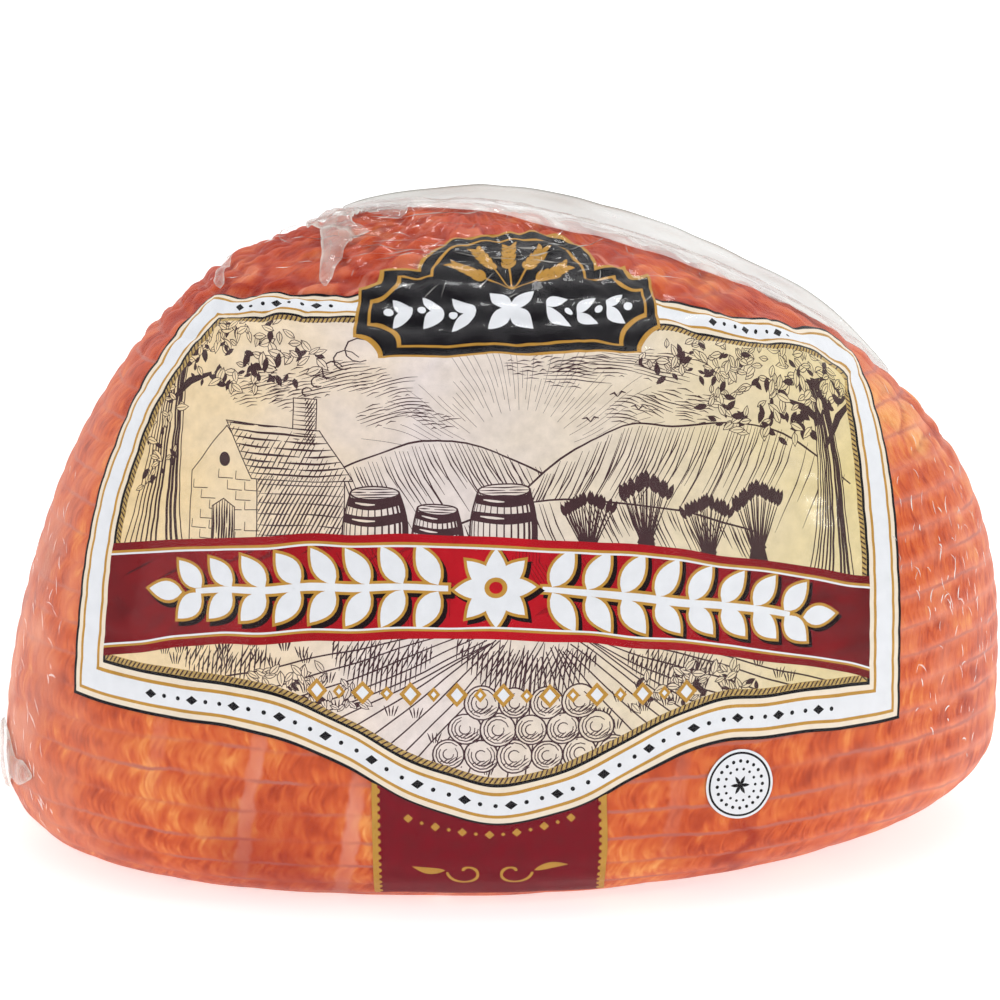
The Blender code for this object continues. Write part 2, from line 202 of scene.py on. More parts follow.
@dataclass
class HamForm:
    """The ham's smooth skin, as a table that any rise and arc can be read from."""

    left: Flank = Flank(133.5, 22.4, 112.0, 1.65, 2.8, 2.0)
    right: Flank = Flank(153.5, 33.5, 70.0, 3.1, 1.38, 2.66)
    depth: Flank = Flank(100.0, 34.0, 76.0, 2.2, 2.0, 2.0)
    height: float = 177.0
    square_left: float = 2.5
    square_right: float = 2.0
    table_rows: int = 481
    table_columns: int = 1200

    def __post_init__(self) -> None:
        """Measure the meridian and fill the tables of points and normals."""
        self.centre_x = (self.left.reach - self.right.reach) / 2
        self.heights = self.height * (0.5 - 0.5 * np.cos(np.linspace(0.0, pi, 4001)))
        steps = np.hypot(np.diff(self.reach_at(self.depth, self.heights)), np.diff(self.heights))
        self.rises = np.concatenate([[0.0], np.cumsum(steps)])
        self.full_rise = float(self.rises[-1])
        levels = [self.level(r) for r in np.linspace(0.0, self.full_rise, self.table_rows)]
        self.girths = np.array([girth for _, girth in levels])
        self.skin = np.stack([points for points, _ in levels])
        up = np.gradient(self.skin, axis=0)
        ahead = np.roll(self.skin, -1, axis=1) - np.roll(self.skin, 1, axis=1)
        normal = np.cross(ahead, up)
        normal[-1] = (0.0, 0.0, 1.0)
        length = np.linalg.norm(normal, axis=2, keepdims=True)
        self.normals = normal / np.maximum(length, 1e-12)
        box_low, box_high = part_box("ham_in_film")
        self.shift = np.array([(box_low[0] + box_high[0]) / 2, (box_low[1] + box_high[1]) / 2,
                               box_low[2]])
        self.widest_rise = float(np.interp(self.depth.widest, self.heights, self.rises))
        self.girth = float(self.girth_at(np.array([self.widest_rise]))[0])

    def reach_at(self, flank: Flank, height: Array) -> Array:
        """Half extent of one flank at each height."""
        above = np.clip((height - flank.widest) / (self.height - flank.widest), 0.0, 1.0)
        below = np.clip((flank.widest - height) / flank.widest, 0.0, 1.0)
        crown = flank.reach * np.clip(1 - above ** flank.crown, 0, 1) ** (1 / flank.shoulder)
        tuck = np.clip(1 - below ** flank.tuck, 0, 1) ** (1 / flank.tuck)
        return np.where(height >= flank.widest, crown,
                        flank.foot + (flank.reach - flank.foot) * tuck)

    def level(self, rise: float) -> tuple[Array, float]:
        """Points round the level curve at one rise, evenly spaced, and its length."""
        height = float(np.interp(rise, self.rises, self.heights))
        turn = np.linspace(-pi, pi, 1441)
        across, along = np.sin(turn), np.cos(turn)
        width = np.where(across >= 0, self.reach_at(self.right, height),
                         self.reach_at(self.left, height)) + 1e-6
        deep = self.reach_at(self.depth, height) + 1e-6
        power = np.where(across >= 0, self.square_right, self.square_left)
        radius = (np.abs(across / width) ** power + np.abs(along / deep) ** power) ** (-1 / power)
        x, y = self.centre_x + radius * across, -radius * along
        arc = np.concatenate([[0.0], np.cumsum(np.hypot(np.diff(x), np.diff(y)))])
        arc -= np.interp(0.0, turn, arc)
        girth = float(arc[-1] - arc[0])
        wanted = np.arange(self.table_columns) / self.table_columns * girth
        wanted = (wanted - arc[0]) % girth + arc[0]
        return columns(np.interp(wanted, arc, x), np.interp(wanted, arc, y), height), girth

    def girth_at(self, rise: Array) -> Array:
        """Length of the level curve at each rise."""
        return np.interp(rise, np.linspace(0.0, self.full_rise, self.table_rows), self.girths)

    def read(self, table: Array, rise: Array, arc: Array) -> Array:
        """Read a table between its entries."""
        row = np.clip(rise / self.full_rise, 0.0, 1.0) * (self.table_rows - 1)
        low = np.minimum(row.astype(int), self.table_rows - 2)
        row_share = (row - low)[:, None]
        column = (arc / np.maximum(self.girth_at(rise), 1e-6)) % 1.0 * self.table_columns
        left = column.astype(int) % self.table_columns
        right = (left + 1) % self.table_columns
        share = (column - column.astype(int))[:, None]
        lower = table[low, left] * (1 - share) + table[low, right] * share
        upper = table[low + 1, left] * (1 - share) + table[low + 1, right] * share
        return lower * (1 - row_share) + upper * row_share

    def place(self, rise: Array, arc: Array, lift: Array | float) -> Array:
        """Points in metres, in the frame, that stand off the skin.

        Args:
            rise: Rise of each point.
            arc: Arc of each point.
            lift: Distance outwards from the skin, in millimetres.

        Returns:
            One row of x, y and z for each point.
        """
        rise, arc = np.asarray(rise, dtype=float), np.asarray(arc, dtype=float)
        lift = np.broadcast_to(np.asarray(lift, dtype=float), rise.shape)[:, None]
        normal = self.read(self.normals, rise, arc)
        return (self.read(self.skin, rise, arc) + normal * lift) * MM + self.shift

    def crown_height(self, x: float, y: float) -> float:
        """Height of the upper skin above a place on the floor, in millimetres."""
        low, high = self.depth.widest, self.height
        flank = self.right if x > self.centre_x else self.left
        power = self.square_right if x > self.centre_x else self.square_left
        for _ in range(30):
            middle = (low + high) / 2
            share_x = abs(x - self.centre_x) / (float(self.reach_at(flank, middle)) + 1e-9)
            share_y = abs(y) / (float(self.reach_at(self.depth, middle)) + 1e-9)
            if share_x ** power + share_y ** power < 1.0:
                low = middle
            else:
                high = middle
        return low


@dataclass
class NetMarks:
    """The marks that the netting left: rows from its rings, and bands from its strands."""

    form: HamForm
    rows: int = 29
    strands: int = 28
    row_depth: float = 0.34
    crown_row_depth: float = 1.15
    strand_depth: float = 0.25
    crown_strand_depth: float = 1.5
    row_line: float = 1.0
    strand_line: float = 2.2
    lump_depth: float = 0.4
    crown_lump_depth: float = 1.2
    pillow_size: float = 11.5
    pillow_depth: float = 1.5
    twist: float = 0.15
    noise: SoftNoise = field(default_factory=lambda: SoftNoise(11))

    def arcs_for(self, rise: Array, share: Array) -> Array:
        """Arcs of the lines that strands follow, for shares of the girth."""
        form = self.form
        share = share + self.twist * (rise - form.widest_rise) / form.girth
        share = (share + 0.5) % 1.0 - 0.5
        length = form.girth_at(rise)
        pull = ease(2.0 * np.abs(share))
        low = share * (form.girth * (1.0 - pull) + length * pull)
        return np.where(rise >= form.widest_rise, share * length, low)

    def share_of(self, rise: Array, arc: Array) -> Array:
        """Shares of the girth for places on the skin, the inverse of arcs_for."""
        form = self.form
        length = np.maximum(form.girth_at(rise), 1e-6)
        arc = (arc / length + 0.5) % 1.0 * length - 0.5 * length
        share = arc / length
        for _ in range(6):
            pull = ease(2.0 * np.abs(share))
            span = form.girth * (1.0 - pull) + length * pull
            share = np.where(rise >= form.widest_rise, arc / length, arc / span)
        return share - self.twist * (rise - form.widest_rise) / form.girth

    def phases(self, rise: Array, arc: Array) -> tuple[Array, Array]:
        """Row and strand phase of each place; whole numbers lie on a ring or a strand."""
        form = self.form
        share = self.share_of(rise, arc)
        turn = 2 * pi * share
        probe = columns(60 * np.cos(turn), 60 * np.sin(turn), rise * 0.6)
        sway = self.noise.at(probe, 17.0) - 0.5
        drift = self.noise.at(probe + 400.0, 23.0) - 0.5
        row = rise / form.full_rise * self.rows + 0.42 * sway * ease(rise, 6.0, 30.0)
        return row, share * self.strands + 0.5 * drift

    def crowned(self, rise: Array, x: Array) -> Array:
        """How far the meat bulges in pillows: over the crown, and lower on the right shoulder."""
        return np.maximum(ease(rise, 146.0, 184.0), ease(x, 96.0, 116.0) * ease(rise, 112.0, 134.0))

    def pillows(self, points: Array) -> tuple[Array, Array]:
        """Height of the pillows, from 0 in a crevice to 1, and one random value for each."""
        bent = points + 4.0 * np.stack([self.noise.at(points + k, 9.0) for k in (0, 50, 99)], axis=1)
        inside, value = self.noise.lumps(bent, self.pillow_size)
        return ease(inside, -0.12, 0.42), value

    def pressed(self, phase: Array, pitch: Array | float, line: float) -> Array:
        """Depth of the marks from 0 to 1: a broad wave with a sharper line in its middle."""
        gap = np.abs(phase - np.round(phase)) * pitch
        return 0.5 * (0.5 + 0.5 * np.cos(2 * pi * phase)) + 0.5 * np.exp(-(gap / line) ** 2)

    def relief(self, rise: Array, arc: Array) -> Array:
        """How far the meat lies below the smooth skin, as values from about -2.5 to 0."""
        form, noise = self.form, self.noise
        row, strand = self.phases(rise, arc)
        width = np.maximum(form.girth_at(rise), 1.0) / self.strands
        points = form.read(form.skin, rise, arc)
        lumps = 0.6 * noise.at(points, 13.0) + 0.4 * noise.at(points + 90.0, 6.0)
        vary = 0.7 + 0.6 * noise.at(points + 200.0, 19.0)
        crown = ease(rise, 120.0, 190.0)
        deep = between(self.row_depth, self.crown_row_depth, crown)
        down = deep * vary * self.pressed(row, form.full_rise / self.rows, self.row_line)
        groove = between(self.strand_depth, self.crown_strand_depth, crown)
        down += groove * vary * self.pressed(strand, width, self.strand_line)
        down += between(self.lump_depth, self.crown_lump_depth, crown) * lumps
        raised, _ = self.pillows(points)
        down += self.pillow_depth * self.crowned(rise, points[:, 0]) * (1.0 - raised)
        fade = ease(rise, 0.0, 8.0) * ease(form.full_rise - rise, 0.0, 14.0)
        return -down * fade


def mesh_object(name: str, points: Array, faces: list | Array,
                materials: list[bpy.types.Material]) -> Piece:
    """Make a smooth-shaded mesh object and link it.

    Args:
        name: Name of the object and its mesh.
        points: One row of x, y and z for each vertex, in metres.
        faces: Vertex indices of each face.
        materials: Materials of its slots, in order.

    Returns:
        The new object.
    """
    mesh = bpy.data.meshes.new(name)
    mesh.from_pydata(np.asarray(points).tolist(), [], [tuple(f) for f in faces])
    for material in materials:
        mesh.materials.append(material)
    mesh.shade_smooth()
    item = bpy.data.objects.new(name, mesh)
    bpy.context.collection.objects.link(item)
    return item


def paint(item: Piece, name: str, values: Array) -> None:
    """Store one to three values between 0 and 1 for each vertex as a colour layer."""
    values = np.atleast_2d(np.asarray(values, dtype=float).T).T
    full = np.ones((len(item.data.vertices), 4))
    full[:, :values.shape[1]] = np.clip(values, 0.0, 1.0)
    layer = item.data.color_attributes.new(name, "FLOAT_COLOR", "POINT")
    layer.data.foreach_set("color", full.ravel())


def unwrap(item: Piece, name: str, corners: Array) -> None:
    """Store one u and v for each face corner as a UV layer."""
    layer = item.data.uv_layers.new(name=name)
    layer.data.foreach_set("uv", np.asarray(corners, dtype=float).ravel())


def vertices_of(item: Piece) -> Array:
    """The vertices of a piece in metres, one row each."""
    points = np.zeros(len(item.data.vertices) * 3)
    item.data.vertices.foreach_get("co", points)
    return points.reshape(-1, 3)


@dataclass
class SkinGrid:
    """A closed grid of quads over the whole ham, whose columns follow the strands."""

    form: HamForm
    marks: NetMarks
    rows: int
    columns: int

    def __post_init__(self) -> None:
        """Lay out the rises and shares of the grid and the faces between them."""
        rises = np.linspace(0.0, self.form.full_rise, self.rows + 1)[:-1]
        self.share = np.tile(np.arange(self.columns + 1) / self.columns - 0.5, (self.rows, 1))
        self.rise = np.repeat(rises[:, None], self.columns + 1, axis=1)
        self.vertex_rise = self.rise[:, :-1].ravel()
        self.vertex_arc = self.marks.arcs_for(self.vertex_rise, self.share[:, :-1].ravel())
        self.faces, corners = [], []
        for r, c in product(range(self.rows - 1), range(self.columns)):
            low, high, d = r * self.columns, (r + 1) * self.columns, (c + 1) % self.columns
            self.faces.append((low + c, low + d, high + d, high + c))
            corners.append(((r, c), (r, c + 1), (r + 1, c + 1), (r + 1, c)))
        self.corner_index = np.array(corners)
        count = self.rows * self.columns
        last = (self.rows - 1) * self.columns
        for c in range(self.columns):
            d = (c + 1) % self.columns
            self.faces.append((last + c, last + d, count))
            self.faces.append((d, c, count + 1))

    def build(self, name: str, lift: Array, materials: list) -> Piece:
        """Make the mesh with a lift for each grid vertex; the pole and foot are closed."""
        form = self.form
        points = form.place(self.vertex_rise, self.vertex_arc, lift)
        points[:, 2] = np.maximum(points[:, 2], form.shift[2] + 0.0001)
        pole = form.place(np.array([form.full_rise]), np.array([0.0]), float(lift[-1]))
        foot = points[:self.columns].mean(axis=0)[None]
        return mesh_object(name, np.concatenate([points, pole, foot]), self.faces, materials)

    def corner_values(self, values_u: Array, values_v: Array) -> Array:
        """Spread values on the seam-cut grid to face corners, with zeros on the caps."""
        r, c = self.corner_index[..., 0], self.corner_index[..., 1]
        body = np.stack([values_u[r, c], values_v[r, c]], axis=-1).reshape(-1, 2)
        caps = np.zeros((2 * self.columns * 3, 2))
        return np.concatenate([body, caps])


@dataclass(frozen=True)
class CuredMeat:
    """Smoked, cured pork: moist fibres, so the gloss is soft and the colour runs in streaks."""

    roughness: float = 0.5
    fibre_mm: float = 1.7
    fibre_length_mm: float = 8.0
    ramp: tuple[tuple[float, str], ...] = (
        (0.30, "8C2A15"), (0.42, "B0411E"), (0.50, "C95529"), (0.58, "D66C36"),
        (0.68, "E6914C"), (0.82, "F4B974"))
    crown_red: str = "E8B0A0"
    ring_line: str = "B8685A"
    ring_fringe: str = "EE987C"
    strand_band: str = "DE8E76"
    # Painted sheen: a painted reflection of the film on the flanks, and painted highlights on the
    # pillow tops.
    painted_sheen: str = "DE8A6C"
    # Darkening: painted shade in the crevices and the cleft, and darker spots of the meat.
    darkening_and_crevice_shade: str = "921C0E"

    def material(self) -> bpy.types.Material:
        """Build the material; it reads the Tone and Patch layers and the Fibre and Net maps."""
        material = bpy.data.materials.new("cured_smoked_pork")
        material.use_nodes = True
        tree = material.node_tree
        shader = tree.nodes["Principled BSDF"]
        add = partial(add_node, tree)
        net = add("SeparateXYZ", {0: add("UVMap", uv_map="Net")})
        tones = add("SeparateColor", {0: add("VertexColor", layer_name="Tone")})
        patches = add("SeparateColor", {0: add("VertexColor", layer_name="Patch")})
        position = add("TexCoord").outputs["Object"]
        # Every row has its own fibres: the noise jumps from one ring to the next.
        row = add("Math", {0: net.outputs[1]}, operation="FLOOR")
        stretched = add("Mapping", {
            "Vector": add("UVMap", uv_map="Fibre"),
            "Scale": (1.0 / (self.fibre_mm * MM), 1.0 / (self.fibre_length_mm * MM), 1.0)})
        jump = add("CombineXYZ", {2: add("Math", {0: row, 1: 7.3}, operation="MULTIPLY")})
        fibres = add("TexNoise", {
            "Vector": add("VectorMath", {0: stretched, 1: jump}), "Scale": 1.0, "Detail": 3.0,
            "Roughness": 0.6, "Distortion": 0.7})
        blotch = add("TexNoise", {
            "Vector": position, "Scale": 1.0 / (15 * MM), "Detail": 2.0, "Roughness": 0.6})
        drops = add("TexNoise", {
            "Vector": position, "Scale": 1.0 / (5 * MM), "Detail": 2.0, "Roughness": 0.5})
        mixed = add("Math", {0: fibres, 1: 0.40}, operation="MULTIPLY")
        # The Patch layer's fat, with painted highlights on the pillow tops, moves the colour up the
        # ramp.
        for pattern, weight in ((blotch, 0.30), (drops, 0.30), (patches, 0.26)):
            mixed = add("Math", {0: pattern, 1: weight, 2: mixed}, operation="MULTIPLY_ADD")
        flesh = add("ValToRGB", {0: mixed}, stops=list(self.ramp))
        crowned = add("Mix", {0: tones, 6: flesh, 7: linear(self.crown_red)},
                      data_type="RGBA", blend_type="MULTIPLY").outputs[2]
        # The marks waver and fray, for film and fat lie over them.
        frayed = add("MapRange", {"Value": drops, "To Min": -0.06, "To Max": 0.06})
        strand = add("Math", {0: net, 1: frayed}, operation="ADD")
        wavering = add("Math", {0: frayed, 1: 1.4, 2: net.outputs[1]}, operation="MULTIPLY_ADD")
        # On the right flank the light rakes over the rows and gives each ring a pale fringe.
        right = add("MapRange", {
            "Value": add("SeparateXYZ", {0: position}), "From Min": 0.07, "From Max": 0.12,
            "To Max": 0.8})
        raked = add("Math", {0: right, 1: drops}, operation="MULTIPLY")
        colour = crowned
        for phase, outer, inner, strength, hue in (
                (strand, 0.1, 0.05, patches.outputs[2], self.strand_band),
                (wavering, 0.34, 0.0, raked, self.ring_fringe),
                (wavering, 0.1, 0.01, patches.outputs[1], self.ring_line)):
            line = add("Math", {0: self.line(tree, phase, outer, inner), 1: strength},
                       operation="MULTIPLY")
            colour = add("Mix", {0: line, 6: colour, 7: linear(hue)}, data_type="RGBA").outputs[2]
        # Painted sheen, then the darkening with its painted crevice shade.
        for amount, hue in ((tones.outputs[2], self.painted_sheen), (tones.outputs[1], self.darkening_and_crevice_shade)):
            colour = add("Mix", {0: amount, 6: colour, 7: linear(hue)},
                         data_type="RGBA").outputs[2]
        tree.links.new(colour, shader.inputs["Base Color"])
        shader.inputs["Roughness"].default_value = self.roughness
        shader.inputs["Specular IOR Level"].default_value = 0.12
        bump = add("Bump", {"Height": fibres, "Strength": 0.3, "Distance": 0.0004})
        tree.links.new(bump.outputs[0], shader.inputs["Normal"])
        return material

    def line(self, tree: bpy.types.NodeTree, phase: bpy.types.Node, outer: float,
             inner: float) -> bpy.types.Node:
        """A line where a phase is a whole number; its half widths are shares of the spacing."""
        away = phase
        for step in ("ADD", "FRACT", "SUBTRACT", "ABSOLUTE"):
            away = add_node(tree, "Math", {0: away, 1: 0.5}, operation=step)
        return add_node(tree, "MapRange", {
            "Value": away, "From Min": outer, "From Max": inner}, interpolation_type="SMOOTHSTEP")


@dataclass(frozen=True)
class ShrinkFilm:
    """Clear shrink film, drawn tight by heat: glassy, with fine crinkles and milky folds."""

    name: str = "clear_shrink_film"
    ior: float = 1.45
    roughness: float = 0.12
    milk: str = "DCD9D0"
    shaded: str = "7E8479"
    mirrored: float = 0.3
    most_mirrored: float = 0.045
    crinkle_mm: float = 5.0
    crinkle_strength: float = 0.25

    def material(self) -> bpy.types.Material:
        """Build the material; the Milk layer gives its milkiness and the painted shade of the milk.
        """
        material = bpy.data.materials.new(self.name)
        material.use_nodes = True
        tree = material.node_tree
        tree.nodes.remove(tree.nodes["Principled BSDF"])
        add = partial(add_node, tree)
        milk = add("SeparateColor", {0: add("VertexColor", layer_name="Milk")})
        crinkle = add("TexNoise", {
            "Vector": add("TexCoord").outputs["Object"], "Scale": 1.0 / (self.crinkle_mm * MM),
            "Detail": 2.0, "Roughness": 0.5, "Distortion": 0.6})
        bump = add("Bump", {
            "Height": crinkle, "Strength": self.crinkle_strength, "Distance": 0.0006})
        gloss = add("BsdfGlossy", {
            "Color": (0.95, 0.95, 0.95, 1.0), "Roughness": self.roughness, "Normal": bump})
        clear = add("BsdfTransparent", {"Color": (1.0, 1.0, 1.0, 1.0)})
        tint = add("Mix", {0: milk.outputs[1], 6: linear(self.shaded), 7: linear(self.milk)},
                   data_type="RGBA").outputs[2]
        cloudy = add("BsdfDiffuse", {"Color": tint, "Normal": bump})
        body = add("MixShader", {0: milk, 1: clear, 2: cloudy})
        facing = add("Fresnel", {"IOR": self.ior, "Normal": bump})
        share = add("Math", {0: facing, 1: self.mirrored}, operation="MULTIPLY")
        held = add("Math", {0: share, 1: self.most_mirrored}, operation="MINIMUM")
        film = add("MixShader", {0: held, 1: body, 2: gloss})
        tree.links.new(film.outputs[0], tree.nodes["Material Output"].inputs["Surface"])
        return material


@dataclass
class HamInFilm:
    """The meat with its net marks, and the film drawn tight over it."""

    form: HamForm
    marks: NetMarks
    meat_rows: int = 204
    meat_columns: int = 460
    film_rows: int = 170
    film_columns: int = 380
    film_bridge: float = 0.55
    film_lift: float = 0.5
    fat_places: tuple = (
        (132.0, 141.0, 10.0, 1.3), (143.0, 133.0, 9.0, 1.2), (36.0, 40.0, 12.0, 0.35),
        (45.0, 24.0, 13.0, 0.4), (66.0, 46.0, 9.0, 0.2), (-26.0, 36.0, 10.0, 0.35),
        (-70.0, 56.0, 12.0, 0.35), (-84.0, 46.0, 12.0, 0.3), (20.0, 222.0, 12.0, 0.4),
        (-26.0, 214.0, 9.0, 0.5), (80.0, 184.0, 9.0, 0.4), (62.0, 190.0, 8.0, 0.45),
        (120.0, 34.0, 12.0, 0.25), (230.0, 90.0, 22.0, 0.5), (300.0, 60.0, 20.0, 0.45),
        (-240.0, 110.0, 24.0, 0.4), (-300.0, 50.0, 18.0, 0.5), (350.0, 130.0, 22.0, 0.45))
    # Darker spots of the meat; the ones low in the front are painted shade.
    dark_places: tuple = (
        (-52.0, 26.0, 16.0, 0.65), (-38.0, 12.0, 12.0, 0.55), (-64.0, 40.0, 8.0, 0.4),
        (58.0, 30.0, 8.0, 0.25), (-130.0, 60.0, 10.0, 0.25), (-134.0, 96.0, 9.0, 0.3),
        (-96.0, 22.0, 9.0, 0.2), (160.0, 60.0, 10.0, 0.15), (-250.0, 60.0, 18.0, 0.3),
        (260.0, 40.0, 18.0, 0.3), (320.0, 150.0, 16.0, 0.3), (-210.0, 150.0, 16.0, 0.3))
    crack_from: Point = (77.0, 34.0)
    crack_to: Point = (70.0, 8.0)

    def spots(self, arc: Array, rise: Array, places: tuple) -> Array:
        """Strength of the strongest soft round spot at each vertex."""
        strongest = np.zeros(len(arc))
        for place_arc, place_rise, size, strength in places:
            away = np.hypot(arc - place_arc, rise - place_rise)
            strongest = np.maximum(strongest, np.exp(-(away / size) ** 2) * strength)
        return strongest

    def darkening_and_crevice_shade(self, arc: Array, rise: Array) -> Array:
        """Painted shade in the one cleft low in the front of the meat."""
        (top_arc, top), (foot_arc, foot) = self.crack_from, self.crack_to
        middle = between(top_arc, foot_arc, np.clip((top - rise) / (top - foot), 0, 1))
        depth = np.exp(-((arc - middle - 2.4 * np.sin(rise * 0.5)) / 2.1) ** 2)
        depth *= ease(rise, foot - 2, foot + 3)
        return depth * (ease(top + 4 - rise, 0.0, 4.0) * 0.75)

    def tones(self, rise: Array, arc: Array, points: Array) -> tuple[Array, Array]:
        """Broad colour differences over the meat, with painted light and shade among them.

        Args:
            rise: Rise of each vertex.
            arc: Arc of each vertex.
            points: The vertices, in metres.

        Returns:
            The Tone layer (crown, darkening with painted crevice shade, painted sheen) and the
            Patch layer (fat with painted highlights, rings, bands).
        """
        noise = self.marks.noise
        mm = points / MM
        x = mm[:, 0]
        broad, fine = noise.at(mm, 26.0), noise.at(mm + 70.0, 9.0)
        length = np.maximum(self.form.girth_at(rise), 1.0)
        arc = (arc / length + 0.5) % 1.0 * length - 0.5 * length
        crown = ease(rise, 125.0, 185.0) * (0.6 + 0.4 * broad)
        left_side = ease(-x, 88.0, 136.0)
        raised, lump = self.marks.pillows(mm)
        bulging = self.marks.crowned(rise, x)
        fat_and_highlight = 0.3 * ease(fine * broad, 0.30, 0.62)
        # Painted highlight: the tops of the pillows are lightened towards the fat colours, most on
        # the right shoulder.
        fat_and_highlight = np.maximum(fat_and_highlight, bulging * ease(raised, 0.3, 1.0) * ease(lump, 0.25, 0.9)
                         * (0.1 + 0.7 * fine * broad + 0.5 * ease(x, 96.0, 120.0)))
        fat_and_highlight = np.maximum(fat_and_highlight, self.spots(arc, rise, self.fat_places) * (0.6 + 0.8 * fine))
        # Painted sheen: a painted reflection of the film on the left flank and the right one, and
        # painted highlights on the tops of the pillows.
        painted_sheen = left_side * (0.16 + 0.5 * ease(fine, 0.3, 0.75))
        painted_sheen += ease(x, 60.0, 120.0) * 0.26 * ease(fine, 0.3, 0.8)
        painted_sheen = np.maximum(painted_sheen, 0.42 * bulging * ease(raised, 0.3, 1.0) * ease(lump, 0.3, 1.0)
                          * ease(fine + broad, 0.5, 1.4))
        # Painted shade in the cleft and in the crevices between the pillows; some pillows are darker
        # at random.
        darkening_and_crevice_shade = np.maximum(self.darkening_and_crevice_shade(arc, rise), bulging * (
            0.85 * (1.0 - ease(raised, 0.0, 0.55)) * ease(fine + broad, 0.3, 1.2)
            + 0.3 * ease(lump, 0.45, 0.0) * raised))
        darkening_and_crevice_shade = np.maximum(darkening_and_crevice_shade, self.spots(arc, rise, self.dark_places) * (0.4 + fine))
        rings = 0.75 - 0.5 * ease(rise, 150.0, 200.0) - 0.3 * left_side
        rings *= 0.25 + 1.1 * ease(noise.at(mm * (1.0, 1.0, 2.0) + 310.0, 12.0), 0.2, 0.8)
        bands = 0.6 * ease(noise.at(mm * (1.0, 1.0, 0.7) + 150.0, 24.0), 0.38, 0.66)
        bands *= 1.0 - 0.75 * ease(np.abs(x + 20.0), 52.0, 78.0)
        bands *= 0.45 + 0.9 * ease(fine, 0.2, 0.75)
        return columns(crown, darkening_and_crevice_shade, painted_sheen), columns(fat_and_highlight, rings, bands)

    def build_meat(self) -> Piece:
        """Model the meat, with every row and strand pressed in."""
        form, marks = self.form, self.marks
        grid = SkinGrid(form, marks, self.meat_rows, self.meat_columns)
        relief = marks.relief(grid.vertex_rise, grid.vertex_arc)
        item = grid.build("cured_meat", relief, [CuredMeat().material()])
        tone, patch = self.tones(np.append(grid.vertex_rise, [form.full_rise, 0.0]),
                                 np.append(grid.vertex_arc, [0.0, 0.0]),
                                 vertices_of(item) - form.shift)
        paint(item, "Tone", tone)
        paint(item, "Patch", patch)
        rise, share = grid.rise, grid.share
        row, _ = marks.phases(rise.ravel(), marks.arcs_for(rise.ravel(), share.ravel()))
        row = row.reshape(rise.shape)
        row[:, -1] = row[:, 0]
        bend = 1.7 * np.abs(np.sin(pi * row))
        unwrap(item, "Fibre", grid.corner_values((share * form.girth + bend) * MM, rise * MM))
        unwrap(item, "Net", grid.corner_values(share * marks.strands, row))
        return item

    def film_offset(self, rise: Array, arc: Array) -> Array:
        """How far the film stands off the smooth skin: it bridges the deeper marks."""
        return self.marks.relief(rise, arc) * self.film_bridge + self.film_lift

    def build_film(self) -> Piece:
        """Model the film, tight over the meat and milky where it is gathered.

        On the left flank its milk is a painted reflection.
        """
        grid = SkinGrid(self.form, self.marks, self.film_rows, self.film_columns)
        lift = self.film_offset(grid.vertex_rise, grid.vertex_arc)
        item = grid.build("clear_film", lift, [ShrinkFilm().material()])
        # So clear and tight a film dims nothing, and without its shadow the render is quicker.
        item.visible_shadow = False
        item.visible_diffuse = False
        mm = (vertices_of(item) - self.form.shift) / MM
        x, y, z = mm.T
        noise = self.marks.noise
        streak = noise.at(mm * (1.0, 1.0, 0.5), 4.0) * noise.at(mm + 33.0, 15.0)
        crest = np.exp(-((y - 6.0) / 9.0) ** 2) * ease(z, 120.0, 150.0)
        crest *= ease(x, -48.0, -20.0) * (1.0 - ease(x, 92.0, 112.0))
        left_side = ease(-x, 105.0, 140.0)
        # On the left flank the milk is a painted reflection, a pale veil in streaks.
        paint(item, "Milk", crest * (0.15 + 0.3 * streak)
              + left_side * 0.14 * ease(streak, 0.05, 0.65))
        return item

    def build(self) -> list[Piece]:
        """Build the meat and the film and hang both on the body."""
        meat, film = self.build_meat(), self.build_film()
        for item in (meat, film):
            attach(item, "root")
            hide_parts("ham_in_film")
        return [meat, film]


class PrintPart(Enum):
    """Printed panels, each of which stands for its own solid."""

    LABEL = "front_label"
    PLAQUE = "black_plaque"
    MARK = "round_mark"
    RIBBON = "foot_ribbon"


class Ink(Enum):
    """Inks on the film, by slot order."""

    WHITE = 0
    CREAM = 1
    GOLD = 2
    BLACK = 3
    PAPER = 4
    BROWN = 5
    RED = 6
    DARK_RED = 7
    WINE = 8
    ROPE = 9
    SHADE = 10


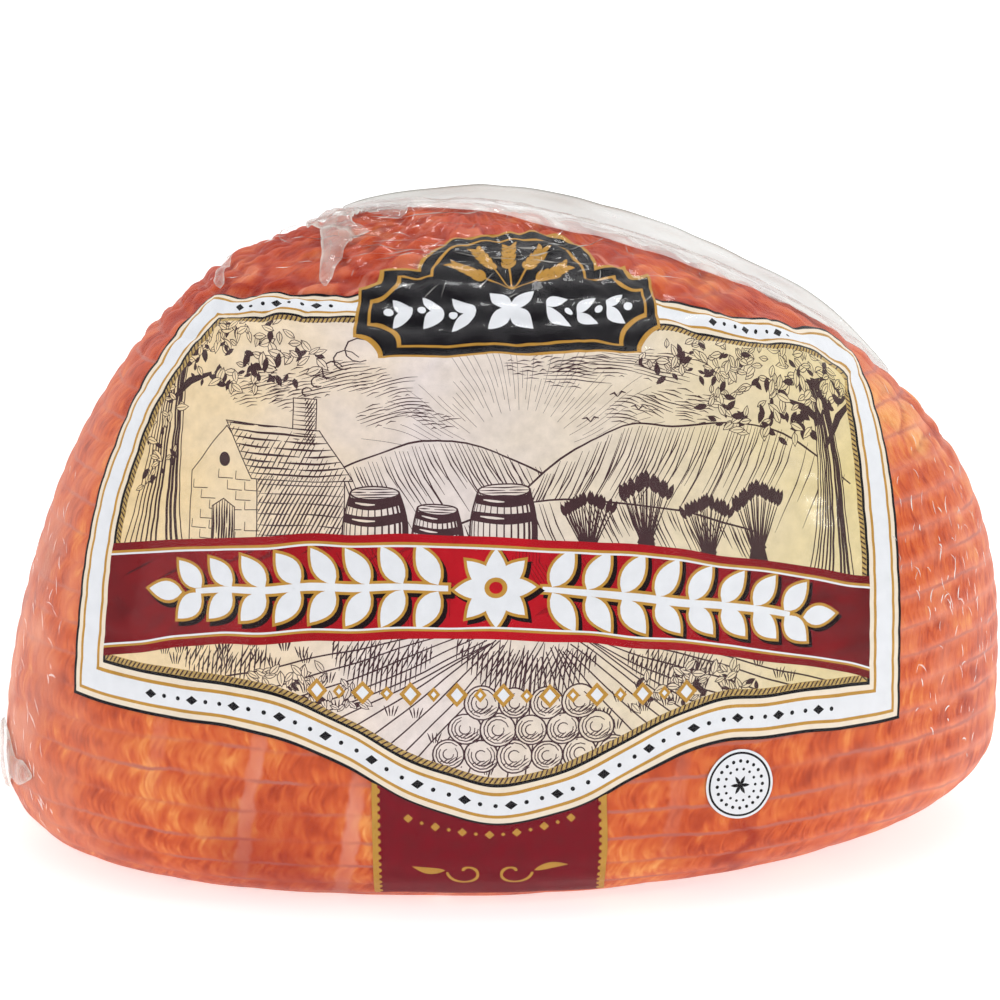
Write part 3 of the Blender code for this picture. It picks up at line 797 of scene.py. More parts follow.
@dataclass(frozen=True)
class PrintedInk:
    """Ink printed on shrink film: smooth and glossy, with a faint mottle from the press."""

    ink: Ink
    ramp: tuple[tuple[float, str], ...]
    roughness: float = 0.4
    mottle: float = 0.12
    mottle_mm: float = 4.0
    broad_mm: float = 22.0
    half_width_mm: float = 120.0

    def material(self) -> bpy.types.Material:
        """Build the material; its colour runs across the label from left to right."""
        material = bpy.data.materials.new("ink_" + self.ink.name.lower())
        material.use_nodes = True
        tree = material.node_tree
        shader = tree.nodes["Principled BSDF"]
        add = partial(add_node, tree)
        uv = add("UVMap", uv_map="Print")
        place = add("MapRange", {
            "Value": add("SeparateXYZ", {0: uv}), "From Min": -self.half_width_mm * MM,
            "From Max": self.half_width_mm * MM})
        cloud = add("TexNoise", {
            "Vector": uv, "Scale": 1.0 / (self.mottle_mm * MM), "Detail": 4.0, "Roughness": 0.65})
        broad = add("TexNoise", {
            "Vector": uv, "Scale": 1.0 / (self.broad_mm * MM), "Detail": 2.0})
        nudged = add("Math", {0: broad, 1: 0.22, 2: place}, operation="MULTIPLY_ADD")
        settled = add("Math", {0: nudged, 1: 0.11}, operation="SUBTRACT")
        colour = add("ValToRGB", {0: settled}, stops=list(self.ramp))
        shade = add("MapRange", {
            "Value": cloud, "From Min": 0.3, "From Max": 0.7, "To Min": 1.0 - self.mottle,
            "To Max": 1.0 + 0.5 * self.mottle})
        grey = add("CombineColor", {0: shade, 1: shade, 2: shade})
        mottled = add("Mix", {0: 1.0, 6: colour, 7: grey}, data_type="RGBA",
                      blend_type="MULTIPLY").outputs[2]
        tree.links.new(mottled, shader.inputs["Base Color"])
        shader.inputs["Roughness"].default_value = self.roughness
        shader.inputs["Specular IOR Level"].default_value = 0.04
        return material


INKS = (
    PrintedInk(Ink.WHITE, ((0.0, "DFE1E6"), (1.0, "E0E2E6")), mottle=0.05),
    PrintedInk(Ink.CREAM, ((0.0, "E6D8C4"), (1.0, "E6D9C6")), mottle=0.06),
    PrintedInk(Ink.GOLD, ((0.0, "B98A3C"), (1.0, "B98C40")), mottle=0.14),
    PrintedInk(Ink.BLACK, ((0.0, "17151A"), (1.0, "1A181B")), mottle=0.25),
    PrintedInk(Ink.PAPER, ((0.0, "E6C88F"), (0.42, "E0D4D0"), (0.22, "E8D2B0"), (1.0, "DCC98C"))),
    PrintedInk(Ink.BROWN, ((0.0, "42302F"), (0.5, "4A3338"), (1.0, "42312D")), mottle=0.2),
    PrintedInk(Ink.RED, ((0.0, "5E1A1E"), (0.25, "96181F"), (0.5, "B81A26"), (1.0, "551719"))),
    PrintedInk(Ink.DARK_RED, ((0.0, "3E1A1E"), (1.0, "3A181C")), mottle=0.3),
    PrintedInk(Ink.WINE, ((0.0, "74091A"), (1.0, "74091A")), mottle=0.22),
    PrintedInk(Ink.ROPE, ((0.0, "B99A5E"), (1.0, "BFA263")), mottle=0.5, mottle_mm=0.9),
    PrintedInk(Ink.SHADE, ((0.0, "1F1416"), (1.0, "1F1416")), mottle=0.2),
)


@dataclass
class Shape:
    """One printed shape: its outline, its ink, its panel, and the shape it is cut to."""

    outline: Outline
    ink: Ink
    part: PrintPart
    within: int | None = None


def spaced(start: float, end: float, step: float) -> list[float]:
    """Evenly spaced values from start up to but not including end."""
    count = max(1, round(abs(end - start) / step))
    return [start + (end - start) * i / count for i in range(count)]


def around(centre: Point, reach: float, turn: float) -> Point:
    """The point at a distance and in a direction from a centre."""
    return centre[0] + reach * cos(turn), centre[1] + reach * sin(turn)


def turned(outline: Outline, centre: Point, angle: float) -> Outline:
    """An outline given round the origin, turned and set at a centre."""
    ahead, side = cos(angle), sin(angle)
    return [(centre[0] + x * ahead - y * side, centre[1] + x * side + y * ahead)
            for x, y in outline]


def oval(centre: Point, half_width: float, half_height: float, steps: int = 28) -> Outline:
    """An ellipse."""
    return [(centre[0] + half_width * cos(2 * pi * i / steps),
             centre[1] + half_height * sin(2 * pi * i / steps)) for i in range(steps)]


def lozenge(centre: Point, half_width: float, half_height: float) -> Outline:
    """A diamond."""
    x, y = centre
    return [(x + half_width, y), (x, y + half_height), (x - half_width, y), (x, y - half_height)]


def leaf(length: float, width: float, steps: int = 9, bow: float = 0.0) -> Outline:
    """A pointed leaf from the origin along +x, with an optional sideways bow."""
    lower, upper = [], []
    for i in range(steps + 1):
        share = i / steps
        half = 0.5 * width * sin(pi * share ** 0.85) ** 0.9
        bend = bow * sin(pi * share)
        lower.append((length * share, bend - half))
        upper.append((length * share, bend + half))
    return lower + upper[-2:0:-1]


def grown(outline: Outline, amount: float) -> Outline:
    """An outline pushed outwards along its corners' bisectors."""
    area = sum(x1 * y2 - x2 * y1 for (x1, y1), (x2, y2) in zip(outline, outline[1:] + outline[:1]))
    sign = 1.0 if area > 0 else -1.0
    result = []
    for before, here, after in zip(outline[-1:] + outline[:-1], outline, outline[1:] + outline[:1]):
        first = Vector((here[1] - before[1], before[0] - here[0])) * sign
        second = Vector((after[1] - here[1], here[0] - after[0])) * sign
        if first.length < 1e-9 or second.length < 1e-9:
            result.append(here)
            continue
        middle = first.normalized() + second.normalized()
        size = max(middle.length_squared / 2, 0.35)
        push = middle * (amount / size)
        result.append((here[0] + push[0], here[1] + push[1]))
    return result


def stroke(points: list[Point], width: float, taper: float = 0.8) -> Outline:
    """A pen stroke along points, thick in the middle and thin at its ends.

    Args:
        points: The line, two points or more.
        width: Thickness in the middle.
        taper: How much of the thickness is lost at the ends, from 0 to 1.

    Returns:
        The stroke's outline.
    """
    lefts, rights = [], []
    last = len(points) - 1
    for i, (x, y) in enumerate(points):
        ahead, behind = points[min(i + 1, last)], points[max(i - 1, 0)]
        along = Vector((ahead[0] - behind[0], ahead[1] - behind[1]))
        along = along.normalized() if along.length > 1e-9 else Vector((1.0, 0.0))
        swell = 1.0 - taper * (1.0 - sin(pi * i / last))
        half = 0.5 * width * max(swell, 0.12)
        lefts.append((x - along[1] * half, y + along[0] * half))
        rights.append((x + along[1] * half, y - along[0] * half))
    return lefts + rights[::-1]


def crossings(outline: Outline, height: float) -> list[tuple[float, float]]:
    """Stretches of a level line that lie inside an outline."""
    cuts = sorted((x2 - x1) * (height - y1) / (y2 - y1) + x1
                  for (x1, y1), (x2, y2) in zip(outline, outline[1:] + outline[:1])
                  if (y1 > height) != (y2 > height))
    return list(zip(cuts[::2], cuts[1::2]))


def smoothed(corners: Outline, steps: int) -> Outline:
    """A closed smooth curve through corners, with this many steps between two corners."""
    points = []
    count = len(corners)
    for i in range(count):
        a, b, c, d = (corners[(i + k) % count] for k in (-1, 0, 1, 2))
        for step in range(steps):
            t = step / steps
            points.append(tuple(
                0.5 * (2 * q + (r - p) * t + (2 * p - 5 * q + 4 * r - s) * t * t
                       + (3 * q - p - 3 * r + s) * t ** 3) for p, q, r, s in zip(a, b, c, d)))
    return points


def windings(places: Array, outline: Array) -> Array:
    """How many times an outline winds round each place; 0 means outside."""
    ahead = np.roll(outline, -1, axis=0)
    x, y = places[:, 0, None], places[:, 1, None]
    side = ((ahead[:, 0] - outline[:, 0]) * (y - outline[:, 1])
            - (x - outline[:, 0]) * (ahead[:, 1] - outline[:, 1]))
    rising = (outline[:, 1] <= y) & (ahead[:, 1] > y) & (side > 0)
    falling = (outline[:, 1] > y) & (ahead[:, 1] <= y) & (side < 0)
    return rising.sum(axis=1) - falling.sum(axis=1)


@dataclass
class Panel:
    """A printed panel, which draws its shapes on the sheet."""

    sheet: PrintSheet
    part = PrintPart.LABEL

    def ink(self, outline: Outline, ink: Ink, within: int | None = None) -> int:
        """Print an outline, cut to an earlier shape, and return its number."""
        return self.sheet.add(outline, ink, self.part, within)


@dataclass
class Engraver(Panel):
    """Draws line work in the manner of an old wood engraving."""

    within: int
    seed: int = 5
    weight: float = 1.45
    run: int = 8

    def __post_init__(self) -> None:
        """Seed the hand's small wobble."""
        self.hand = random.Random(self.seed)

    def line(self, points: list[Point], width: float = 0.42, taper: float = 0.6) -> None:
        """Draw one stroke."""
        self.fill(stroke(points, width * self.weight, taper))

    def fill(self, outline: Outline, ink: Ink = Ink.BROWN) -> None:
        """Fill an outline."""
        self.ink(outline, ink, self.within)

    def cut_out(self, outline: Outline, edge: float) -> None:
        """Fill an outline with the paper's colour inside a dark edge."""
        self.fill(grown(outline, edge))
        self.fill(outline, Ink.PAPER)

    def outline(self, points: list[Point], width: float = 0.5) -> None:
        """Draw a line through points as overlapping pen strokes."""
        for i in range(0, len(points) - 1, self.run):
            self.line(points[i:i + self.run + 1], width, 0.25)

    def hatch(self, outline: Outline, angle: float, gap: float, width: float = 0.3,
              bow: float = 0.0, breaks: float = 0.15, shorten: float = 0.0) -> None:
        """Fill an outline with parallel pen strokes.

        Args:
            outline: The area.
            angle: Direction of the strokes, in degrees.
            gap: Distance between strokes.
            width: Thickness of a stroke.
            bow: How far the middle of a stroke bulges sideways.
            breaks: Chance that a stroke is lifted part of the way.
            shorten: Largest share of a stroke that may be left off its end.
        """
        turn = radians(angle)
        flat = turned(outline, (0.0, 0.0), -turn)
        low, high = min(p[1] for p in flat), max(p[1] for p in flat)
        height = low + gap * self.hand.uniform(0.2, 0.8)
        while height < high:
            for start, end in crossings(flat, height):
                end -= (end - start) * shorten * self.hand.random()
                if end - start < 0.5:
                    continue
                parts = [(start, end)]
                if self.hand.random() < breaks and end - start > 4.0:
                    middle = start + (end - start) * self.hand.uniform(0.3, 0.7)
                    parts = [(start, middle - 0.5), (middle + 0.5, end)]
                for first, last in parts:
                    count = max(2, min(10, int((last - first) / 2.5)))
                    points = [(first + (last - first) * i / count,
                               height + bow * sin(pi * i / count)
                               + self.hand.uniform(-0.05, 0.05)) for i in range(count + 1)]
                    self.line(turned(points, (0.0, 0.0), turn), width, 0.7)
            height += gap * self.hand.uniform(0.85, 1.15)

    def foliage(self, centre: Point, half_width: float, half_height: float, count: int,
                size: float = 2.4) -> None:
        """A mass of leaves: small scalloped strokes, with the shaded side filled denser."""
        for _ in range(count):
            angle, radius = self.hand.uniform(0, 2 * pi), sqrt(self.hand.random())
            x = centre[0] + half_width * radius * cos(angle)
            y = centre[1] + half_height * radius * sin(angle)
            reach = size * self.hand.uniform(0.6, 1.2)
            facing = self.hand.uniform(0, 2 * pi)
            shaded = self.hand.random() < 0.35 + 0.35 * (centre[1] - y) / half_height
            blade = turned(leaf(reach, reach * 0.45, 4), (x, y), facing)
            if shaded:
                self.fill(blade)
            else:
                self.cut_out(blade, 0.22)
                self.line(turned([(0.1, 0.0), (reach * 0.8, 0.0)], (x, y), facing), 0.18, 0.3)

    def hill(self, start: Point, end: Point, height: float, floor: float,
             slope: float, gap: float) -> None:
        """A hill's ridge with short strokes that run down its side."""
        ridge = []
        for i in range(25):
            share = i / 24
            lift = height * sin(pi * share) * (1 + 0.12 * sin(9 * share + start[0]))
            ridge.append((between(start[0], end[0], share),
                          between(start[1], end[1], share) + lift))
        body = [(ridge[0][0], floor)] + ridge + [(ridge[-1][0], floor)]
        self.fill(body[::-1], Ink.PAPER)
        self.outline(ridge, 0.38)
        place = ridge[0][0] + 1.0
        while place < ridge[-1][0] - 1.0:
            share = (place - ridge[0][0]) / (ridge[-1][0] - ridge[0][0])
            top = ridge[int(share * 24)][1]
            drop = (top - floor) * self.hand.uniform(0.25, 0.7)
            if drop > 1.5 and self.hand.random() < 0.8:
                self.line([(place, top - 0.6), (place + slope * drop * 0.4, top - drop * 0.5),
                           (place + slope * drop, top - drop)], 0.26, 0.7)
            place += gap * self.hand.uniform(0.7, 1.3)


@dataclass
class PrintSheet:
    """All print on the film, drawn flat in millimetres and laid on the ham as one skin."""

    form: HamForm
    marks: NetMarks
    ham: HamInFilm
    middle_arc: float = 8.0
    grid: float = 1.7
    longest_edge: float = 1.8
    below_film: float = 0.22
    shapes: list[Shape] = field(default_factory=list)

    def add(self, outline: Outline, ink: Ink, part: PrintPart, within: int | None = None) -> int:
        """Add a shape on top of the earlier ones.

        Args:
            outline: The shape's outline.
            ink: Its ink.
            part: The panel that it belongs to.
            within: Number of an earlier shape that it is cut to.

        Returns:
            The shape's number.
        """
        fine: Outline = []
        for (x1, y1), (x2, y2) in zip(outline, outline[1:] + outline[:1]):
            count = max(1, ceil(hypot(x2 - x1, y2 - y1) / self.longest_edge))
            fine += [(x1 + (x2 - x1) * i / count, y1 + (y2 - y1) * i / count)
                     for i in range(count)]
        self.shapes.append(Shape(fine, ink, part, within))
        return len(self.shapes) - 1

    def place(self, flat: Array) -> Array:
        """Lay flat points on the ham, just under the film, with the film's slight drag."""
        across, rise = flat[:, 0], flat[:, 1]
        probe = columns(across, rise, 0.0)
        noise = self.marks.noise
        tight = 0.45 + 0.9 * ease(rise, 120.0, 180.0)
        arc = across + self.middle_arc + 1.5 * tight * (noise.at(probe + 500.0, 14.0) - 0.5)
        high = rise + 2.6 * tight * (noise.at(probe + 900.0, 12.0) - 0.5)
        lift = self.ham.film_offset(high, arc) - self.below_film
        return self.form.place(high, arc, lift)

    def seeds(self) -> list[Point]:
        """Grid points inside the four panels, so that the print follows the net's marks."""
        bases = [s.outline for s in self.shapes if s.within is None]
        points = []
        for outline in bases[:4]:
            low, high = min(p[1] for p in outline), max(p[1] for p in outline)
            height, odd = low + self.grid * 0.5, 0
            while height < high:
                for start, end in crossings(outline, height):
                    count = int((end - start) / self.grid)
                    points += [(start + (i + 0.3 + 0.4 * odd) * self.grid, height)
                               for i in range(count)]
                height += self.grid * 0.87
                odd = 1 - odd
        return points

    def topmost(self, places: Array) -> Array:
        """Number of the topmost shape that covers each place, or -1 where there is none."""
        order = np.argsort(places[:, 0])
        sorted_across = places[order, 0]
        parents = {shape.within for shape in self.shapes}
        covered: dict[int, Array] = {}
        top = np.full(len(places), -1)
        for number, shape in enumerate(self.shapes):
            outline = np.array(shape.outline)
            low, high = outline.min(axis=0), outline.max(axis=0)
            first, last = np.searchsorted(sorted_across, (low[0], high[0]))
            near = order[first:last]
            near = near[(places[near, 1] > low[1]) & (places[near, 1] < high[1])]
            inside = near[windings(places[near], outline) != 0]
            if shape.within is not None:
                inside = inside[covered[shape.within][inside]]
            if number in parents:
                covered[number] = np.zeros(len(places), dtype=bool)
                covered[number][inside] = True
            top[inside] = number
        return top

    def build(self) -> list[Piece]:
        """Cut all shapes into one triangle mesh and split it into its panels.

        Returns:
            One object for each panel.
        """
        vertices: list[Vector] = []
        edges: list[tuple[int, int]] = []
        for shape in self.shapes:
            first, count = len(vertices), len(shape.outline)
            vertices.extend(Vector(p) for p in shape.outline)
            edges.extend((first + i, first + (i + 1) % count) for i in range(count))
        vertices.extend(Vector(p) for p in self.seeds())
        flat, _, triangles, *_ = delaunay_2d_cdt(vertices, edges, [], 0, 1e-5)
        flat_points = np.array([tuple(p) for p in flat])
        solid = self.place(flat_points)
        triangles = np.array(triangles)
        top = self.topmost(flat_points[triangles].mean(axis=1))
        chosen: dict[PrintPart, list[tuple[tuple[int, ...], int]]] = {p: [] for p in PrintPart}
        for triangle, number in zip(triangles.tolist(), top.tolist()):
            if number >= 0:
                shape = self.shapes[number]
                chosen[shape.part].append((tuple(triangle), shape.ink.value))
        materials = [ink.material() for ink in INKS]
        return [self.panel(part, faces, flat_points, solid, materials)
                for part, faces in chosen.items()]

    def panel(self, part: PrintPart, faces: list, flat_points: Array, solid: Array,
              materials: list[bpy.types.Material]) -> Piece:
        """Make one panel's object from its share of the triangles."""
        used = sorted({i for triangle, _ in faces for i in triangle})
        renumber = {old: new for new, old in enumerate(used)}
        inks = sorted({ink for _, ink in faces})
        triangles = [tuple(renumber[i] for i in triangle) for triangle, _ in faces]
        item = mesh_object("print_" + part.value, solid[used], triangles,
                           [materials[ink] for ink in inks])
        slots = [inks.index(ink) for _, ink in faces]
        item.data.polygons.foreach_set("material_index", slots)
        corner = np.array([i for triangle in triangles for i in triangle])
        unwrap(item, "Print", flat_points[used][corner] * MM)
        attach(item, "root")
        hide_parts(part.value)
        return item


@dataclass
class FrontLabel(Panel):
    """The framed label: nested border lines, a country scene and a red banner."""

    half_left: float = 119.0
    half_right: float = 115.5
    low_corner: float = 66.0
    dip: float = 21.0
    dip_half_width: float = 65.0
    apex: float = 190.5
    fall_left: float = 0.13
    fall_right: float = 0.25
    top_share: float = 0.72
    corner: float = 7.0
    border: tuple = (
        (0.0, Ink.BLACK), (0.9, Ink.CREAM), (2.3, Ink.GOLD), (3.2, Ink.WHITE), (8.7, Ink.GOLD),
        (9.6, Ink.CREAM), (11.0, Ink.BLACK), (11.9, Ink.ROPE), (13.6, Ink.PAPER))

    def left(self, rise: float) -> float:
        """Left edge."""
        return -self.half_left + 34.0 * max(0.0, (rise - self.low_corner) / 114.0) ** 3

    def right(self, rise: float) -> float:
        """Right edge."""
        return self.half_right + 5.0 * max(0.0, (rise - 110.0) / 50.0) ** 3

    def foot(self, across: float) -> float:
        """Lower edge, with its dip in the middle."""
        line = 59.5 - 0.035 * across + 0.00016 * across ** 2
        if abs(across) >= self.dip_half_width:
            return line
        return line - self.dip * cos(pi * across / (2 * self.dip_half_width)) ** 2

    def top(self, across: float) -> float:
        """Upper edge, two slopes that meet under the plaque."""
        return self.apex - self.fall_right * max(across, 0.0) - self.fall_left * max(-across, 0.0)

    def ring(self, inset: float, step: float = 2.0) -> Outline:
        """The label's outline drawn in by an inset, with rounded corners at the right top."""
        high = inset * self.top_share
        a, b = self.left(self.low_corner) + inset, self.right(57.0) - inset
        c, d = self.right(160.0) - inset, self.left(180.0) + inset
        points = [(x, self.foot(x) + inset) for x in spaced(a, b, step)]
        points += [(self.right(y) - inset, y)
                   for y in spaced(self.foot(b) + inset, self.top(c) - high - self.corner, step)]
        heart = (c - self.corner, self.top(c) - high - self.corner)
        points += [around(heart, self.corner, pi / 2 * i / 5) for i in range(1, 5)]
        points += [(x, self.top(x) - high) for x in spaced(c - self.corner, d, step)]
        points += [(self.left(y) + inset, y)
                   for y in spaced(self.top(d) - high, self.foot(a) + inset, step)]
        return points

    def banner_top(self, across: float) -> float:
        """Upper edge of the banner."""
        return 114.0 - 0.05 * across - 0.0011 * across ** 2

    def banner_foot(self, across: float) -> float:
        """Lower edge of the banner."""
        return 87.5 - 0.04 * across - 0.0012 * across ** 2

    def draw(self) -> None:
        """Draw the whole label, from its border to the ornaments on top."""
        numbers = [self.ink(self.ring(inset), ink, None if n == 0 else 0)
                   for n, (inset, ink) in enumerate(self.border)]
        picture = numbers[-1]
        self.draw_rope()
        self.draw_country(Engraver(self.sheet, picture))
        self.draw_banner(numbers[-3])
        self.draw_small_ornaments(picture)

    def draw_rope(self) -> None:
        """Slanting dark ticks on the gold strip that edges the picture."""
        path = self.ring(12.75, 1.3)
        for (x1, y1), (x2, y2) in zip(path, path[1:] + path[:1]):
            angle = atan2(y2 - y1, x2 - x1)
            tick = [(-0.75, -0.75), (-0.25, -0.75), (0.75, 0.75), (0.25, 0.75)]
            self.ink(turned(tick, (x1, y1), angle), Ink.BROWN, 0)

    def draw_country(self, pen: Engraver) -> None:
        """Hills, a smokehouse, casks, trees and sheaves, with a woodpile below the banner."""
        self.draw_sky(pen)
        pen.hill((-60.0, 122.0), (30.0, 120.0), 17.0, 104.0, 0.5, 1.1)
        pen.hill((0.0, 120.0), (100.0, 122.0), 24.0, 100.0, -0.5, 1.0)
        pen.hill((-20.0, 114.0), (70.0, 112.0), 10.0, 100.0, 0.4, 0.9)
        self.draw_smokehouse(pen, (-66.0, 108.0))
        for across, size in ((-31.0, 21.0), (-15.0, 17.0), (2.0, 22.0)):
            self.draw_cask(pen, (across, 104.0), size)
        for across, size in ((24.0, 20.0), (39.0, 25.0), (56.0, 21.0), (70.0, 24.0)):
            self.draw_sheaf(pen, (across, 104.0 - 0.1 * across), size)
        self.draw_tree(pen, -93.0, 100.0, 166.0, 12.0)
        pen.foliage((-74.0, 163.0), 27.0, 10.0, 150, 3.8)
        pen.foliage((-95.0, 140.0), 8.0, 20.0, 60, 3.4)
        self.draw_tree(pen, 91.0, 92.0, 150.0, 9.0)
        pen.foliage((80.0, 149.0), 24.0, 13.0, 170, 3.8)
        pen.foliage((54.0, 160.0), 17.0, 5.0, 60, 3.4)
        self.draw_ground(pen)
        pen.foliage((-52.0, 74.0), 20.0, 6.0, 90, 3.2)
        pen.foliage((52.0, 72.0), 18.0, 6.0, 80, 3.2)
        self.draw_woodpile(pen)

    def draw_cask(self, pen: Engraver, foot: Point, height: float) -> None:
        """An upright cask with staves and hoops, shaded on its right side."""
        x, y = foot
        lefts, rights = [], []
        for i in range(11):
            share = i / 10
            half = 0.29 * height * (1.0 + 0.32 * sin(pi * share))
            lefts.append((x - half, y + height * share))
            rights.append((x + half, y + height * share))
        body = rights + lefts[::-1]
        pen.cut_out(body, 0.45)
        for k in range(1, 14):
            share = k / 14
            line = [(between(a[0], b[0], 0.5 - 0.5 * cos(pi * share)), a[1])
                    for a, b in zip(lefts, rights)]
            pen.outline(line, 0.16 + 0.5 * share ** 2)
        for level in (1, 3, 7, 9):
            a, b = lefts[level], rights[level]
            sag = 0.05 * height
            hoop = [(a[0] + (b[0] - a[0]) * i / 8, a[1] - sag * sin(pi * i / 8))
                    for i in range(9)]
            pen.line(hoop, 0.085 * height, 0.1)
            pen.fill(stroke([(px, py + 0.15) for px, py in hoop[1:5]], 0.03 * height, 0.6),
                     Ink.PAPER)
        lid = oval((x, y + height), 0.29 * height, 0.07 * height, 24)
        pen.cut_out(lid, 0.4)
        pen.hatch(lid, 0, 0.7, 0.25)

    def draw_sky(self, pen: Engraver) -> None:
        """Sun rays, drifting cloud lines and a few birds."""
        sun = (6, 132)
        for i in range(60):
            angle = radians(8 + 164 * i / 59)
            start, end = 16.0 + 3.0 * (i % 3), 24.0 + pen.hand.uniform(0, 18)
            pen.line([around(sun, start, angle), around(sun, end, angle)], 0.18, 0.6)
        clouds = (((-38.0, 156.0), 16.0, 5.0, 14), ((-22.0, 146.0), 12.0, 3.5, 10),
                  ((36.0, 158.0), 20.0, 5.0, -12), ((48.0, 146.0), 16.0, 4.5, -16),
                  ((16.0, 160.0), 12.0, 3.0, 8), ((-60.0, 152.0), 10.0, 5.0, 20))
        for centre, half_width, half_height, lean in clouds:
            for part in range(3):
                shift = (part - 1) * half_width * 0.6
                puff = oval((centre[0] + shift, centre[1] + (1 - abs(part - 1)) * 2.0),
                            half_width * 0.6, half_height, 20)
                pen.hatch(puff, lean, 1.05, 0.24, 0.4, 0.5, 0.5)
        for x, y in ((32.0, 150.0), (38.0, 146.0), (25.0, 144.5)):
            pen.line([(x - 2.2, y + 0.9), (x - 1.0, y + 1.2), (x, y)], 0.4)
            pen.line([(x, y), (x + 1.0, y + 1.2), (x + 2.2, y + 0.7)], 0.4)

    def draw_smokehouse(self, pen: Engraver, foot: Point) -> None:
        """A stone smokehouse with a plank door, a shingle roof and smoke from its chimney."""
        x, y = foot
        front = [(x - 15, y), (x + 4, y), (x + 4, y + 21), (x - 5.5, y + 33), (x - 15, y + 21)]
        side = [(x + 4, y), (x + 27, y + 2), (x + 27, y + 21), (x + 4, y + 21)]
        roof = [(x + 2.5, y + 20), (x + 29, y + 20), (x + 20, y + 34), (x - 5.5, y + 34.5)]
        chimney = [(x + 13, y + 30), (x + 19, y + 30), (x + 19, y + 43), (x + 13, y + 43)]
        for face in (chimney, front, side, roof):
            pen.cut_out(face, 0.3)
        pen.hatch(chimney, 0, 1.3, 0.24)
        pen.hatch([(x + 16, y + 30), (x + 19, y + 30), (x + 19, y + 43), (x + 16, y + 43)], 60, 0.7)
        pen.hatch(roof, 0, 1.9, 0.42, breaks=0.6)
        pen.hatch(roof, 64, 1.3, 0.24, breaks=0.8, shorten=0.5)
        pen.hatch(side, 0, 2.6, 0.26, breaks=0.5)
        pen.hatch(side, 62, 0.95, 0.3, breaks=0.3)
        for row in range(8):
            for column in range(4):
                left = x - 14.5 + column * 5.0 + 2.4 * (row % 2)
                if left > x + 2.5 or pen.hand.random() < 0.25:
                    continue
                low = y + 1.0 + row * 2.6
                pen.line([(left, low), (left + 4.2, low + pen.hand.uniform(-0.2, 0.2))], 0.22, 0.3)
                pen.line([(left, low), (left + 0.1, low + 2.2)], 0.2, 0.3)
        door = [(x - 8.5, y), (x - 2.5, y), (x - 2.5, y + 12.0), (x - 5.5, y + 14.0),
                (x - 8.5, y + 12.0)]
        pen.cut_out(door, 0.3)
        pen.hatch(door, 90, 0.75, 0.4)
        pen.fill(oval((x - 5.5, y + 24.0), 1.6, 1.9, 14))
        for puff in range(5):
            size = 1.6 + 0.8 * puff
            centre = (x + 16.5 + 2.4 * puff + 0.6 * puff ** 1.4, y + 45.0 + 3.1 * puff)
            curl = [(centre[0] + size * cos(0.4 + 0.62 * i) * (1 - 0.05 * i),
                     centre[1] + size * sin(0.4 + 0.62 * i) * (1 - 0.05 * i))
                    for i in range(9)]
            pen.outline(curl, 0.3)

    def draw_sheaf(self, pen: Engraver, foot: Point, height: float) -> None:
        """A sheaf of wheat, bound at its waist."""
        for i in range(17):
            spread = (i - 8) / 8
            start = (foot[0] + 4.4 * spread, foot[1])
            waist = (foot[0] + 1.7 * spread, foot[1] + 0.48 * height)
            tip = (foot[0] + 5.6 * spread + pen.hand.uniform(-0.4, 0.4),
                   foot[1] + height * (1.0 - 0.14 * abs(spread)))
            pen.line([start, waist, tip], 0.3, 0.3)
            angle = atan2(tip[1] - waist[1], tip[0] - waist[0])
            pen.fill(turned(leaf(0.2 * height, 0.075 * height, 4), tip, angle))
        pen.line([(foot[0] - 2.2, foot[1] + 0.46 * height), (foot[0], foot[1] + 0.42 * height),
                  (foot[0] + 2.2, foot[1] + 0.48 * height)], 1.0, 0.2)

    def draw_tree(self, pen: Engraver, across: float, foot: float, top: float,
                  width: float) -> None:
        """A trunk with bark strokes that follow its sides, and three limbs."""
        lefts, rights = [], []
        for i in range(13):
            share = i / 12
            half = 0.5 * width * (1.25 - 0.7 * share + 0.9 * (1 - share) ** 6)
            lean = 2.2 * sin(2.3 * share)
            y = foot + (top - foot) * share
            lefts.append((across - half + lean, y))
            rights.append((across + half + lean, y))
        pen.cut_out(rights + lefts[::-1], 0.35)
        for k in range(1, 11):
            share = k / 11
            if pen.hand.random() < 0.12:
                continue
            line = [(between(a[0], b[0], share) + pen.hand.uniform(-0.15, 0.15), a[1])
                    for a, b in zip(lefts, rights)]
            pen.outline(line, 0.24 + 0.45 * share)
        for side, level, reach in ((1, 0.7, 13.0), (-1, 0.8, 10.0), (1, 0.92, 9.0)):
            start = (across + 1.5, foot + (top - foot) * level)
            pen.line([start, (start[0] + side * reach * 0.5, start[1] + reach * 0.55),
                      (start[0] + side * reach, start[1] + reach * 0.8)], 1.6, 0.55)

    def draw_ground(self, pen: Engraver) -> None:
        """Plough lines that fan out below the banner, with tufts of grass."""
        for i in range(34):
            angle = radians(198 + 144 * i / 33)
            points = []
            for k in range(8):
                reach = 10 + 13 * k
                points.append((10 + reach * cos(angle) * 1.5,
                               94 + reach * sin(angle) + 1.2 * sin(k + i)))
            pen.outline(points, 0.3)
